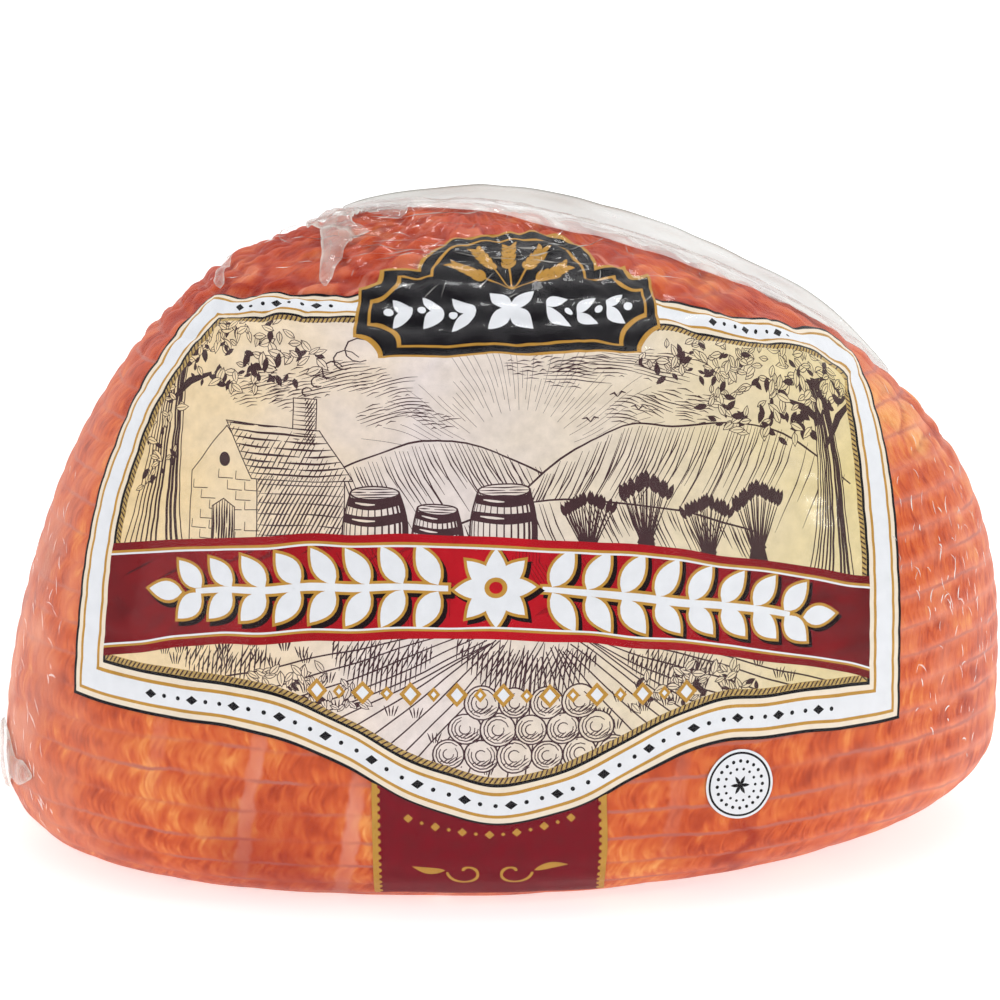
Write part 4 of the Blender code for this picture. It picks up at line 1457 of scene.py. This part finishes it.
        # Shade below the banner, in crossed strokes that thin out downwards.
        for start, end, depth in ((-82, -58, 9), (-42, -16, 12), (-10, 26, 15), (34, 58, 9)):
            spots = spaced(start, end, 3.0) + [end]
            for share, angle in ((1.0, 84), (0.6, 60)):
                area = [(x, self.banner_foot(x) + 1.0) for x in spots]
                area += [(x, self.banner_foot(x) - 2.0 - share * depth
                          * sin(pi * (x - start + 3) / (end - start + 6)))
                         for x in reversed(spots)]
                pen.hatch(area, angle, 1.25, 0.32, 0.0, 0.1, 0.45)
        for _ in range(60):
            x = pen.hand.uniform(-96, 94)
            y = self.foot(x) + pen.hand.uniform(14, 24)
            for blade in range(4):
                lean = (blade - 1.5) * 0.7
                pen.line([(x + blade * 0.5, y), (x + blade * 0.5 + lean * 0.5, y + 1.5),
                          (x + blade * 0.5 + lean, y + 2.8)], 0.3, 0.6)

    def draw_woodpile(self, pen: Engraver) -> None:
        """A pile of split logs, seen at their ends."""
        for row, count in enumerate((6, 5, 4)):
            for i in range(count):
                centre = (-12.0 + 8.4 * i + 4.2 * row, 57.5 + 7.0 * row)
                radius = 3.9 + 0.25 * ((i * 7 + row) % 3)
                pen.fill(oval(centre, radius + 0.35, radius + 0.2, 22))
                pen.fill(oval(centre, radius - 0.1, radius - 0.2, 22), Ink.PAPER)
                for ring in (0.35, 0.62, 0.82):
                    turn = pen.hand.uniform(0, 3)
                    pen.outline([around(centre, radius * ring, turn + 0.5 * k)
                                 for k in range(10)], 0.24)
                pen.hatch([(centre[0] - radius * 0.9, centre[1] - radius * 0.5),
                           (centre[0] + radius * 0.9, centre[1] - radius * 0.9),
                           (centre[0] + radius * 0.9, centre[1] - radius * 0.1)], 35, 0.7, 0.25)

    def draw_banner(self, within: int) -> None:
        """The red banner with its fine lines and a white laurel in place of any words."""
        left, right = -109.0, 106.0
        spots = spaced(left, right, 3.0) + [right]
        layers = ((0.0, 0.0, Ink.RED), (2.0, 2.0, Ink.GOLD), (2.7, 2.6, Ink.WHITE),
                  (3.2, 3.1, Ink.RED))
        for top_inset, foot_inset, ink in layers:
            band = [(x, self.banner_foot(x) + foot_inset) for x in spots]
            band += [(x, self.banner_top(x) - top_inset) for x in reversed(spots)]
            number = self.ink(band, ink, within)
        hand = random.Random(8)
        for _ in range(62):
            x, y = hand.uniform(-104, 92), hand.uniform(-0.05, 0.95)
            angle = radians(hand.choice((35, 60, 88, 120, 150)))
            for k in range(hand.randint(6, 15)):
                px = x + 0.9 * k
                low, high = self.banner_foot(px) + 3, self.banner_top(px) - 3
                py = low + (high - low) * y + 0.3 * k
                reach = hand.uniform(3.0, 7.0)
                dash = stroke([(px, py), around((px, py), reach, angle)], 0.55)
                self.ink(dash, Ink.DARK_RED, number)
        self.draw_laurel(number)

    def middle_of_banner(self, across: float) -> float:
        """Centre line of the banner."""
        return (self.banner_top(across) + self.banner_foot(across)) / 2

    def raised(self, outlines: list[Outline], within: int) -> None:
        """White shapes with a gold edge and a black drop shadow."""
        edged = [grown(outline, 0.75) for outline in outlines]
        shadows = [[(x + 1.0, y - 1.1) for x, y in outline] for outline in edged]
        for layer, ink in ((shadows, Ink.SHADE), (edged, Ink.GOLD), (outlines, Ink.WHITE)):
            for outline in layer:
                self.ink(outline, ink, within)

    def draw_laurel(self, within: int) -> None:
        """Two laurel sprays that grow from a rosette, and a star at each end."""
        shapes: list[Outline] = []
        for side in (-1, 1):
            stem = [(side * x, self.middle_of_banner(side * x)) for x in spaced(12.0, 83.0, 4.0)]
            shapes.append(stroke(stem, 2.0, 0.3))
            for i in range(8):
                x = side * (14.5 + 9.0 * i)
                base, size = self.middle_of_banner(x), 11.6 - 0.3 * i
                for up in (-1, 1):
                    angle = radians(60 - 2 * i) * up
                    shapes.append(turned(leaf(size, 5.6, 8), (x, base + 0.8 * up),
                                         angle if side > 0 else pi - angle))
            tip = side * 83.0
            shapes.append(turned(leaf(10.0, 5.0, 8), (tip, self.middle_of_banner(tip)),
                                 0.0 if side > 0 else pi))
        self.raised(shapes, within)
        centre = (0.0, self.middle_of_banner(0.0))
        petals = [turned(leaf(10.4, 5.4, 8), centre, radians(45 * k)) for k in range(8)]
        self.raised(petals, within)
        self.ink(oval(centre, 2.9, 2.9, 20), Ink.GOLD, within)
        self.ink(oval(centre, 1.7, 1.7, 16), Ink.RED, within)

    def draw_small_ornaments(self, picture: int) -> None:
        """Lozenge rows where the border and the foot of the picture carry small print."""
        for i in range(17):
            x = -46.0 + 6.0 * i
            place, size = (x, 73.5 - 0.02 * x), 2.2 if i % 2 == 0 else 1.0
            self.ink(lozenge(place, size + 0.7, size + 0.9), Ink.GOLD, picture)
            self.ink(lozenge(place, size * 0.72, size * 0.8), Ink.WHITE, picture)
        dots = [((-92.0 + 4.0 * i, self.foot(-92.0 + 4.0 * i) + 6.0), i) for i in range(47)]
        dots += [((x + 4.0 * i, self.top(x + 4.0 * i) - 4.3), i)
                 for i in range(8) for x in (-72.0, 62.0)]
        for place, number in dots:
            shape = oval(place, 0.6, 0.6, 10) if number % 3 else lozenge(place, 1.7, 1.25)
            self.ink(shape, Ink.BLACK, 0)


@dataclass
class BlackPlaque(Panel):
    """The black panel over the label's top edge, with gold lines and a wheat ornament."""

    part = PrintPart.PLAQUE
    centre: float = 4.0
    half_width: float = 41.0
    foot: float = 164.0
    shoulder: float = 194.0
    notch: float = 6.0
    arch_half_width: float = 25.0
    arch_rise: float = 19.0

    def outline(self, inset: float) -> Outline:
        """The panel with four bitten corners and an arch, drawn in by an inset."""
        left, right = self.centre - self.half_width, self.centre + self.half_width
        low, high, bite = self.foot + inset, self.shoulder - inset, self.notch + inset * 0.4
        inner_left, inner_right = left + inset, right - inset
        points: Outline = []

        def corner(x: float, y: float, start: float) -> None:
            """Add one clockwise quarter circle."""
            points.extend(around((x, y), bite, start - pi / 2 * i / 8) for i in range(9))

        corner(inner_left, low, pi / 2)
        points.extend((x, low) for x in spaced(inner_left + bite, inner_right - bite, 3.0)[1:])
        corner(inner_right, low, pi)
        points.extend((inner_right, y) for y in spaced(low + bite, high - bite, 3.0)[1:])
        corner(inner_right, high, 3 * pi / 2)
        for i in range(25):
            turn = pi * i / 24
            points.append((self.centre + (self.arch_half_width - inset) * cos(turn),
                           self.shoulder - inset + self.arch_rise * sin(turn)))
        corner(inner_left, high, 0.0)
        points.extend((inner_left, y) for y in spaced(high - bite, low + bite, 3.0)[1:])
        return points

    def draw(self) -> None:
        """Draw the panel, its lines, an ear of wheat in the arch and a fleuron below."""
        base = self.ink(self.outline(0.0), Ink.GOLD)
        for inset, ink in ((0.8, Ink.BLACK), (3.2, Ink.GOLD), (3.9, Ink.BLACK)):
            self.ink(self.outline(inset), ink, base)
        middle = (self.centre, self.foot + 14.0)
        shapes = [turned(leaf(8.6, 4.6, 8), middle, radians(90 * k + 45)) for k in range(4)]
        shapes.append(lozenge(middle, 2.6, 2.6))
        for side in (-1, 1):
            for i in range(3):
                place = (middle[0] + side * (9.5 + 8.6 * i), middle[1])
                lean = pi if side < 0 else 0.0
                size = 8.6 - 0.9 * i
                shapes.append(turned(leaf(size, 3.8, 7, 0.6), place, lean + side * 0.7))
                shapes.append(turned(leaf(size, 3.8, 7, -0.6), place, lean - side * 0.7))
                shapes.append(oval((place[0] + side * 6.2, place[1]), 1.2, 1.2, 12))
        for shape in shapes:
            self.ink(shape, Ink.WHITE, base)
        self.draw_wheat(base)

    def draw_wheat(self, within: int) -> None:
        """Five ears of wheat that fan out in the arch."""
        root = (self.centre, self.shoulder - 7.0)
        for k in range(-2, 3):
            lean = radians(90 - 31 * k)
            reach = 19.0 - 0.6 * abs(k)
            tip = around(root, reach, lean)
            self.ink(stroke([root, ((root[0] + tip[0]) / 2, (root[1] + tip[1]) / 2), tip],
                            0.55, 0.2), Ink.GOLD, within)
            for i, side in product(range(5), (-1, 1)):
                place = around(root, reach * (0.45 + 0.12 * i), lean)
                self.ink(turned(leaf(4.0, 1.6, 5), place, lean + side * 0.55), Ink.GOLD, within)


@dataclass
class FootRibbon(Panel):
    """The dark red ribbon that runs down from the label, with scalloped gold edges."""

    part = PrintPart.RIBBON
    label: FrontLabel
    centre: float = -1.5
    half_width: float = 30.5
    foot: float = 13.0

    def draw(self) -> None:
        """Draw the ribbon, its edges, a row of dots and a flourish."""
        left, right = self.centre - self.half_width, self.centre + self.half_width
        outline = [(x, self.foot) for x in spaced(left, right, 2.0)]
        outline += [(right, y) for y in spaced(self.foot, self.label.foot(right), 2.0)]
        outline += [(x, self.label.foot(x) + 0.3) for x in spaced(right, left, 2.0)]
        outline += [(left, y) for y in spaced(self.label.foot(left), self.foot, 2.0)]
        base = self.ink(outline, Ink.WINE)
        for side, edge in ((1, left), (-1, right)):
            strip = [(edge, self.foot), (edge + side * 1.5, self.foot),
                     (edge + side * 1.5, 60.0), (edge, 60.0)]
            self.ink(strip[::side], Ink.GOLD, base)
            for i in range(16):
                centre = (edge + side * 1.5, self.foot + 1.2 + 2.4 * i)
                self.ink(oval(centre, 0.75, 0.8, 12), Ink.GOLD, base)
        for i in range(13):
            x = self.centre - 21.0 + 3.5 * i
            y = 36.0 + 0.010 * (x - self.centre) ** 2
            size = 1.25 if i % 2 == 0 else 0.6
            self.ink(lozenge((x, y), size, size), Ink.GOLD, base)
        for side in (-1, 1):
            curl = []
            for i in range(25):
                turn = 0.5 + 0.24 * i
                reach = 1.0 + 0.17 * i
                curl.append((self.centre + side * (6.0 + reach * cos(turn)),
                             23.5 + reach * sin(turn)))
            for i in range(0, 24, 6):
                self.ink(stroke(curl[i:i + 7], 0.9, 0.25), Ink.GOLD, base)
            spray = turned(leaf(9.0, 2.4, 8, 0.8), (self.centre + side * 11.5, 24.0),
                           0.2 if side > 0 else pi - 0.2)
            self.ink(spray, Ink.GOLD, base)


@dataclass
class RoundMark(Panel):
    """The round white mark with a dark ring; where words would be it has a plain rosette."""

    part = PrintPart.MARK
    centre: Point = (65.0, 46.0)
    radius: float = 9.6

    def draw(self) -> None:
        """Draw the disc, its ring and a rosette of dots and dashes."""
        base = self.ink(oval(self.centre, self.radius, self.radius, 56), Ink.WHITE)
        for share, ink in ((0.93, Ink.BLACK), (0.87, Ink.WHITE)):
            self.ink(oval(self.centre, self.radius * share, self.radius * share, 56), ink, base)
        for share, count, size in ((0.68, 20, 0.5), (0.46, 14, 0.42)):
            for i in range(count):
                place = around(self.centre, self.radius * share, 2 * pi * i / count)
                self.ink(oval(place, size, size, 8), Ink.BLACK, base)
        for k in range(6):
            self.ink(turned(leaf(2.8, 1.0, 5), self.centre, radians(60 * k)), Ink.BLACK, base)


@dataclass
class FilmFolds:
    """Slack film: the seal along the crown, its spread over the meat, patches, and painted glints.
    """

    form: HamForm
    marks: NetMarks
    ham: HamInFilm
    start_x: float = -46.0
    end_x: float = 112.0
    fin_y: float = 14.0
    sway: float = 1.6
    waves: float = 3.5
    height: float = 6.6
    right_rise: float = 2.2
    right_rise_x: float = 90.0
    sunk: float = 2.0
    spread: float = 27.0
    edge_width: float = 0.55
    # For each kind of stray painted glint line: how many, then the ranges of its arc (one range or
    # either of two), rise, direction, bend, length, width and milkiness.
    stray: tuple = (
        (80, ((-152.0, -118.0),), (22.0, 128.0), (1.5, 2.7), (-1.2, 1.2), (1.5, 6.0),
         (0.25, 0.7), (0.08, 0.24)),
        (70, ((-80.0, 100.0),), (178.0, 226.0), (0.2, 1.4), (-0.6, 0.6), (2.0, 7.0),
         (0.14, 0.3), (0.25, 0.7)),
        (170, ((-330.0, -160.0), (180.0, 330.0)), (20.0, 215.0), (0.8, 2.3), (-1.2, 1.2),
         (2.0, 9.0), (0.2, 0.6), (0.3, 0.8)))

    def finish(self, name: str, points: Array, faces: list, milk: Array, node: str) -> Piece:
        """Make a piece of cloudy film and hang it on the body in a solid's place."""
        item = mesh_object(name, points, faces, [self.cloudy])
        paint(item, "Milk", milk)
        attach(item, "root")
        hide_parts(node)
        return item

    def strip(self, along: int, up: int) -> tuple[Array, Array, Array]:
        """Share along the seal, level across the sheet and x of its points, column by column."""
        share = np.repeat(np.linspace(0.0, 1.0, along + 1), up + 1)
        level = np.tile(np.linspace(0.0, 1.0, up + 1), along + 1)
        return share, level, between(self.start_x, self.end_x, share)

    def fin(self) -> Piece:
        """The bag's seal: a thin cloudy band of film with fine crinkles, standing on the crown.

        Its milk carries painted shade in the hollows of its folds and along its top edge.
        """
        along, up = 260, 22
        noise = self.marks.noise
        share, level, x = self.strip(along, up)
        foot = np.repeat([self.form.crown_height(v, self.fin_y) for v in x[::up + 1]], up + 1)
        tall = 1.0 + (self.height - 1.0) * np.sin(pi * share) ** 0.7
        tall += self.right_rise * np.exp(-((x - self.right_rise_x) / 15.0) ** 2)
        tall *= 1.0 + 0.06 * (noise.at(columns(x, 0.0, 0.0), 7.0) - 0.5)
        crease = noise.at(columns(x * 0.14, level * 9.0, 0.0), 2.2) - 0.5
        slow = noise.at(columns(x * 0.5, level * 5.0, 50.0), 8.0)
        y = self.fin_y + self.sway * np.sin(2 * pi * self.waves * share) * level
        z = foot - self.sunk + (tall + self.sunk) * level
        points = columns(x, y + 1.0 * crease * level, z) * MM + self.form.shift
        milk = 0.62 + 0.4 * crease + 0.35 * (slow - 0.5) + 0.3 * ease(level, 0.9, 1.0)
        # Painted shade: the milk is darker in the hollows of the folds and along the top edge.
        pale = 0.8 + 0.7 * crease - 0.75 * ease(level, 0.93, 1.0)
        return self.finish("seal_fin_film", points, self.quads(along, up), columns(milk, pale),
                           "top_seal_fin")

    def quads(self, along: int, up: int) -> list[tuple[int, int, int, int]]:
        """Faces of a sheet of points, column by column."""
        return [(i * (up + 1) + j, (i + 1) * (up + 1) + j, (i + 1) * (up + 1) + j + 1,
                 i * (up + 1) + j + 1) for i in range(along) for j in range(up)]

    def crown_sheet(self) -> Piece:
        """Film that spreads from the seal over the front of the crown, milky and creased."""
        along, up = 240, 22
        noise = self.marks.noise
        share, level, x = self.strip(along, up)
        wander = noise.at(columns(x, 0.0, 20.0), 9.0) - 0.5
        reach = (self.spread + 9.0 * wander) * np.sin(pi * share) ** 0.45
        y = self.fin_y - reach * level
        z = np.array([self.form.crown_height(a, b) for a, b in zip(x, y)])
        ripple = noise.at(columns(x, y * 2.2, 0.0), 6.0)
        edge = ease(level, 0.9, 0.97)
        z += 0.5 + 1.3 * ripple * np.sin(pi * np.minimum(level + 0.1, 1.0)) - 0.9 * edge
        slack = noise.at(columns(x, y, 30.0), 8.0) - 0.5
        lean = x + 0.8 * y + 14.0 * slack
        streak = noise.at(columns(x * 0.2 + y * 0.1, y + 7.0 * slack, 70.0), 2.4)
        cross = noise.at(columns(lean, y * 0.12, 90.0), 3.2)
        milk = 0.1 + 0.3 * ease(streak, 0.4, 0.8) + 0.25 * ease(cross, 0.62, 0.8)
        milk += 0.3 * (1.0 - ease(level, 0.0, 0.35))
        milk += 0.5 * np.exp(-((level - 0.93) / 0.03) ** 2) * ease(cross, 0.3, 0.6)
        milk *= ease(np.sin(pi * share), 0.0, 0.12) * (1.0 - ease(level, 0.965, 1.0))
        points = columns(x, y, z) * MM + self.form.shift
        return self.finish("crown_film_sheet", points, self.quads(along, up), milk, "top_seal_fin")

    def patch(self, name: str, node: str, corners: Outline, body: float, rim: float,
              lift: float = 0.9) -> Piece:
        """A pinched or doubled patch of film that lies on the ham.

        Args:
            name: Name of the piece.
            node: Solid that the piece replaces.
            corners: Corners of its outline, as arcs and rises, joined by smooth curves.
            body: Milkiness of its middle.
            rim: Milkiness of its rim.
            lift: Height above the film, in millimetres.

        Returns:
            The piece.
        """
        outline = smoothed(corners, 9)
        seeds = [Vector(p) for p in outline]
        low, high = min(p[1] for p in outline), max(p[1] for p in outline)
        height = low + 0.35
        while height < high:
            for start, end in crossings(outline, height):
                seeds += [Vector((start + (i + 0.5) * 0.7, height))
                          for i in range(int((end - start) / 0.7))]
            height += 0.6
        flat, _, faces, *_ = delaunay_2d_cdt(seeds, [], [list(range(len(outline)))], 1, 1e-5)
        places = np.array([tuple(p) for p in flat])
        border = np.array(outline)
        away = np.min(np.hypot(places[:, 0, None] - border[:, 0],
                               places[:, 1, None] - border[:, 1]), axis=1)
        noise = self.marks.noise
        probe = columns(places[:, 0], places[:, 1] * 0.4, 0.0)
        wave = noise.at(probe, 2.2)
        slow = noise.at(probe + 40.0, 6.0)
        milk = body * (0.4 + 1.2 * wave * slow * 2.0)
        milk += (rim - body) * np.exp(-(away / self.edge_width) ** 2) * (0.35 + 1.1 * slow)
        lifts = self.ham.film_offset(places[:, 1], places[:, 0]) + lift * ease(away, 0.0, 1.4)
        lifts += 0.12 + 0.7 * (wave - 0.5) * ease(away, 0.0, 2.0)
        points = self.form.place(places[:, 1], places[:, 0], lifts)
        return self.finish(name, points, [tuple(f) for f in faces], milk, node)

    def painted_glints(self) -> Piece:
        """Painted glints as white lines: squiggles on the right flank, slanting streaks on the left.
        """
        hand = random.Random(21)
        lines: list[tuple[Outline, float, float]] = []
        for _ in range(130):
            arc, rise = hand.gauss(146.0, 15.0), hand.gauss(88.0, 22.0)
            if arc < 122.0 or arc > 185.0:
                continue
            turn, bend = hand.uniform(1.1, 2.1), hand.choice((-1, 1)) * hand.uniform(0.1, 1.6)
            reach = hand.uniform(1.2, 4.5)
            lines.append((self.curl((arc, rise), turn, bend, reach), hand.uniform(0.2, 0.5),
                          hand.choice((0.3, 0.4, 0.95))))
        for count, spans, *ranges in self.stray:
            for _ in range(count):
                arcs = [hand.uniform(*span) for span in spans]
                arc = hand.choice(arcs) if len(arcs) > 1 else arcs[0]
                rise, turn, bend, reach, width, strength = (hand.uniform(*r) for r in ranges)
                lines.append((self.curl((arc, rise), turn, bend, reach), width, strength))
        places, faces, milk = [], [], []
        for line, width, strength in lines:
            outline = stroke(line, width, 0.9)
            half = len(outline) // 2
            first = len(places)
            places += outline
            milk += [strength] * len(outline)
            for i in range(half - 1):
                a, b = first + i, first + len(outline) - 1 - i
                faces.append((a, a + 1, b - 1, b))
        flat = np.array(places)
        lifts = self.ham.film_offset(flat[:, 1], flat[:, 0]) + 0.16
        points = self.form.place(flat[:, 1], flat[:, 0], lifts)
        return self.finish("film_painted_glints", points, faces, np.array(milk), "side_pleat")

    def curl(self, start: Point, turn: float, bend: float, reach: float) -> Outline:
        """A line that starts in a direction and bends as it goes, in about 1 mm steps."""
        count = max(3, round(reach / 0.9))
        points, x, y = [start], start[0], start[1]
        for i in range(count):
            angle = turn + bend * (i + 0.5) / count
            x += reach / count * cos(angle)
            y += reach / count * sin(angle)
            points.append((x, y))
        return points

    def build(self) -> list[Piece]:
        """Build every fold of the film, and the painted glints.

        Returns:
            The pieces.
        """
        self.cloudy = ShrinkFilm("folded_shrink_film", milk="D8D5CE", mirrored=0.6,
                                 most_mirrored=0.3, crinkle_mm=3.0).material()
        gather = [(-58.0, 213.0), (-46.0, 212.5), (-37.0, 213.0), (-31.5, 210.0), (-27.6, 210.6),
                  (-27.2, 214.6), (-31.0, 216.6), (-33.6, 219.6), (-36.5, 224.5), (-41.0, 228.0),
                  (-49.0, 223.5), (-56.0, 218.5)]
        flap = [(-43.0, 214.0), (-32.5, 210.6), (-33.4, 204.0), (-35.2, 196.0), (-37.6, 186.0),
                (-40.2, 190.0), (-40.4, 200.0), (-41.6, 207.0)]
        beside = [(-40.0, 226.5), (-33.0, 231.0), (-27.0, 233.0), (-20.0, 235.0), (-17.0, 230.0),
                  (-19.0, 224.5), (-26.0, 226.0), (-34.0, 224.5)]
        curl = [(-164.0, 46.0), (-150.0, 46.0), (-143.0, 41.0), (-136.0, 41.5), (-130.0, 39.0),
                (-134.0, 36.0), (-141.0, 33.0), (-147.0, 33.5), (-153.0, 28.0), (-163.0, 30.0)]
        small = [(-86.0, 193.0), (-78.0, 190.0), (-74.0, 184.0), (-77.5, 183.0), (-82.0, 186.0)]
        return [
            self.fin(), self.crown_sheet(),
            self.patch("gathered_film", "crown_pleat", gather, 0.24, 0.85, 1.0),
            self.patch("film_flap", "crown_pleat", flap, 0.26, 0.6, 0.6),
            self.patch("film_beside_gather", "crown_pleat", beside, 0.16, 0.4, 0.5),
            self.patch("film_curl", "side_pleat", curl, 0.3, 0.7, 0.9),
            self.patch("film_nick", "crown_pleat", small, 0.2, 0.45, 0.5),
            self.painted_glints()]


@dataclass
class Studio:
    """Pale floor, soft light from all round, and the camera at the photograph's angle."""

    elevation: float = 12.0
    distance: float = 0.80
    target: tuple[float, float, float] = (0.0, 0.0, 0.0916)
    lens: float = 100.0
    floor_half: float = 14.0
    floor_glow: float = 0.66
    room_behind: float = 1.1
    room_in_front: float = 0.3

    def floor(self) -> None:
        """A wide matt white floor."""
        half = self.floor_half
        item = mesh_object("studio_floor", np.array([
            (-half, -half, 0.0), (half, -half, 0.0), (half, half, 0.0), (-half, half, 0.0)]),
            [(0, 1, 2, 3)], [])
        material = bpy.data.materials.new("matt_white_paper_sweep")
        material.use_nodes = True
        shader = material.node_tree.nodes["Principled BSDF"]
        shader.inputs["Base Color"].default_value = linear("D8D8D7")
        shader.inputs["Roughness"].default_value = 0.9
        shader.inputs["Specular IOR Level"].default_value = 0.0
        shader.inputs["Emission Color"].default_value = (1.0, 1.0, 1.0, 1.0)
        shader.inputs["Emission Strength"].default_value = self.floor_glow
        item.data.materials.append(material)

    def light(self, name: str, place: tuple[float, float, float], size: float,
              watts: float) -> None:
        """One soft square lamp that faces the ham."""
        lamp = bpy.data.lights.new(name, "AREA")
        lamp.size = size
        lamp.energy = watts
        item = bpy.data.objects.new(name, lamp)
        item.location = place
        aim = Vector(self.target) - Vector(place)
        item.rotation_euler = aim.to_track_quat("-Z", "Y").to_euler()
        bpy.context.collection.objects.link(item)

    def room(self) -> None:
        """A white room that is dimmer in front of the ham, so that the film mirrors less."""
        world = bpy.data.worlds.new("white_room")
        world.use_nodes = True
        tree = world.node_tree
        towards = add_node(tree, "SeparateXYZ", {0: add_node(tree, "TexCoord")})
        strength = add_node(tree, "MapRange", {
            "Value": towards.outputs[1], "From Min": -0.5, "From Max": 0.3,
            "To Min": self.room_in_front, "To Max": self.room_behind}).outputs[0]
        background = tree.nodes["Background"]
        background.inputs["Color"].default_value = (1.0, 1.0, 1.0, 1.0)
        tree.links.new(strength, background.inputs["Strength"])
        bpy.context.scene.world = world

    def build(self) -> None:
        """Set up the floor, the lamps, the white room and the camera."""
        self.floor()
        self.light("left_softbox", (-1.6, -1.3, 0.9), 1.6, 12.0)
        self.light("right_softbox", (1.6, -1.3, 0.9), 1.6, 8.6)
        self.light("top_softbox", (0.0, 0.1, 1.9), 1.8, 7.4)
        self.light("right_glint", (1.1, -0.5, 0.6), 0.14, 1.6)
        self.light("top_strip", (0.15, 0.45, 1.25), 0.25, 2.4)
        self.room()
        scene = bpy.context.scene
        scene.view_settings.view_transform = "Standard"
        lens = bpy.data.cameras.new("photo_camera")
        lens.lens = self.lens
        lens.sensor_width = 36.0
        camera = bpy.data.objects.new("photo_camera", lens)
        tilt = radians(self.elevation)
        back = Vector((0.0, -cos(tilt), sin(tilt)))
        camera.location = Vector(self.target) + back * self.distance
        camera.rotation_euler = (-back).to_track_quat("-Z", "Y").to_euler()
        bpy.context.collection.objects.link(camera)
        scene.camera = camera


def main() -> None:
    """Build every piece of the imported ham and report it."""
    logging.basicConfig(level=logging.INFO, format="%(name)s: %(message)s")
    Studio().build()
    form = HamForm()
    marks = NetMarks(form)
    ham = HamInFilm(form, marks)
    made = ham.build()
    sheet = PrintSheet(form, marks, ham)
    label = FrontLabel(sheet)
    label.draw()
    BlackPlaque(sheet).draw()
    RoundMark(sheet).draw()
    FootRibbon(sheet, label).draw()
    panels = sheet.build()
    made += panels
    made += FilmFolds(form, marks, ham).build()
    for item in made:
        LOG.info("%s: %d vertices, %d faces", item.name, len(item.data.vertices),
                 len(item.data.polygons))


if __name__ == "__main__":
    main()
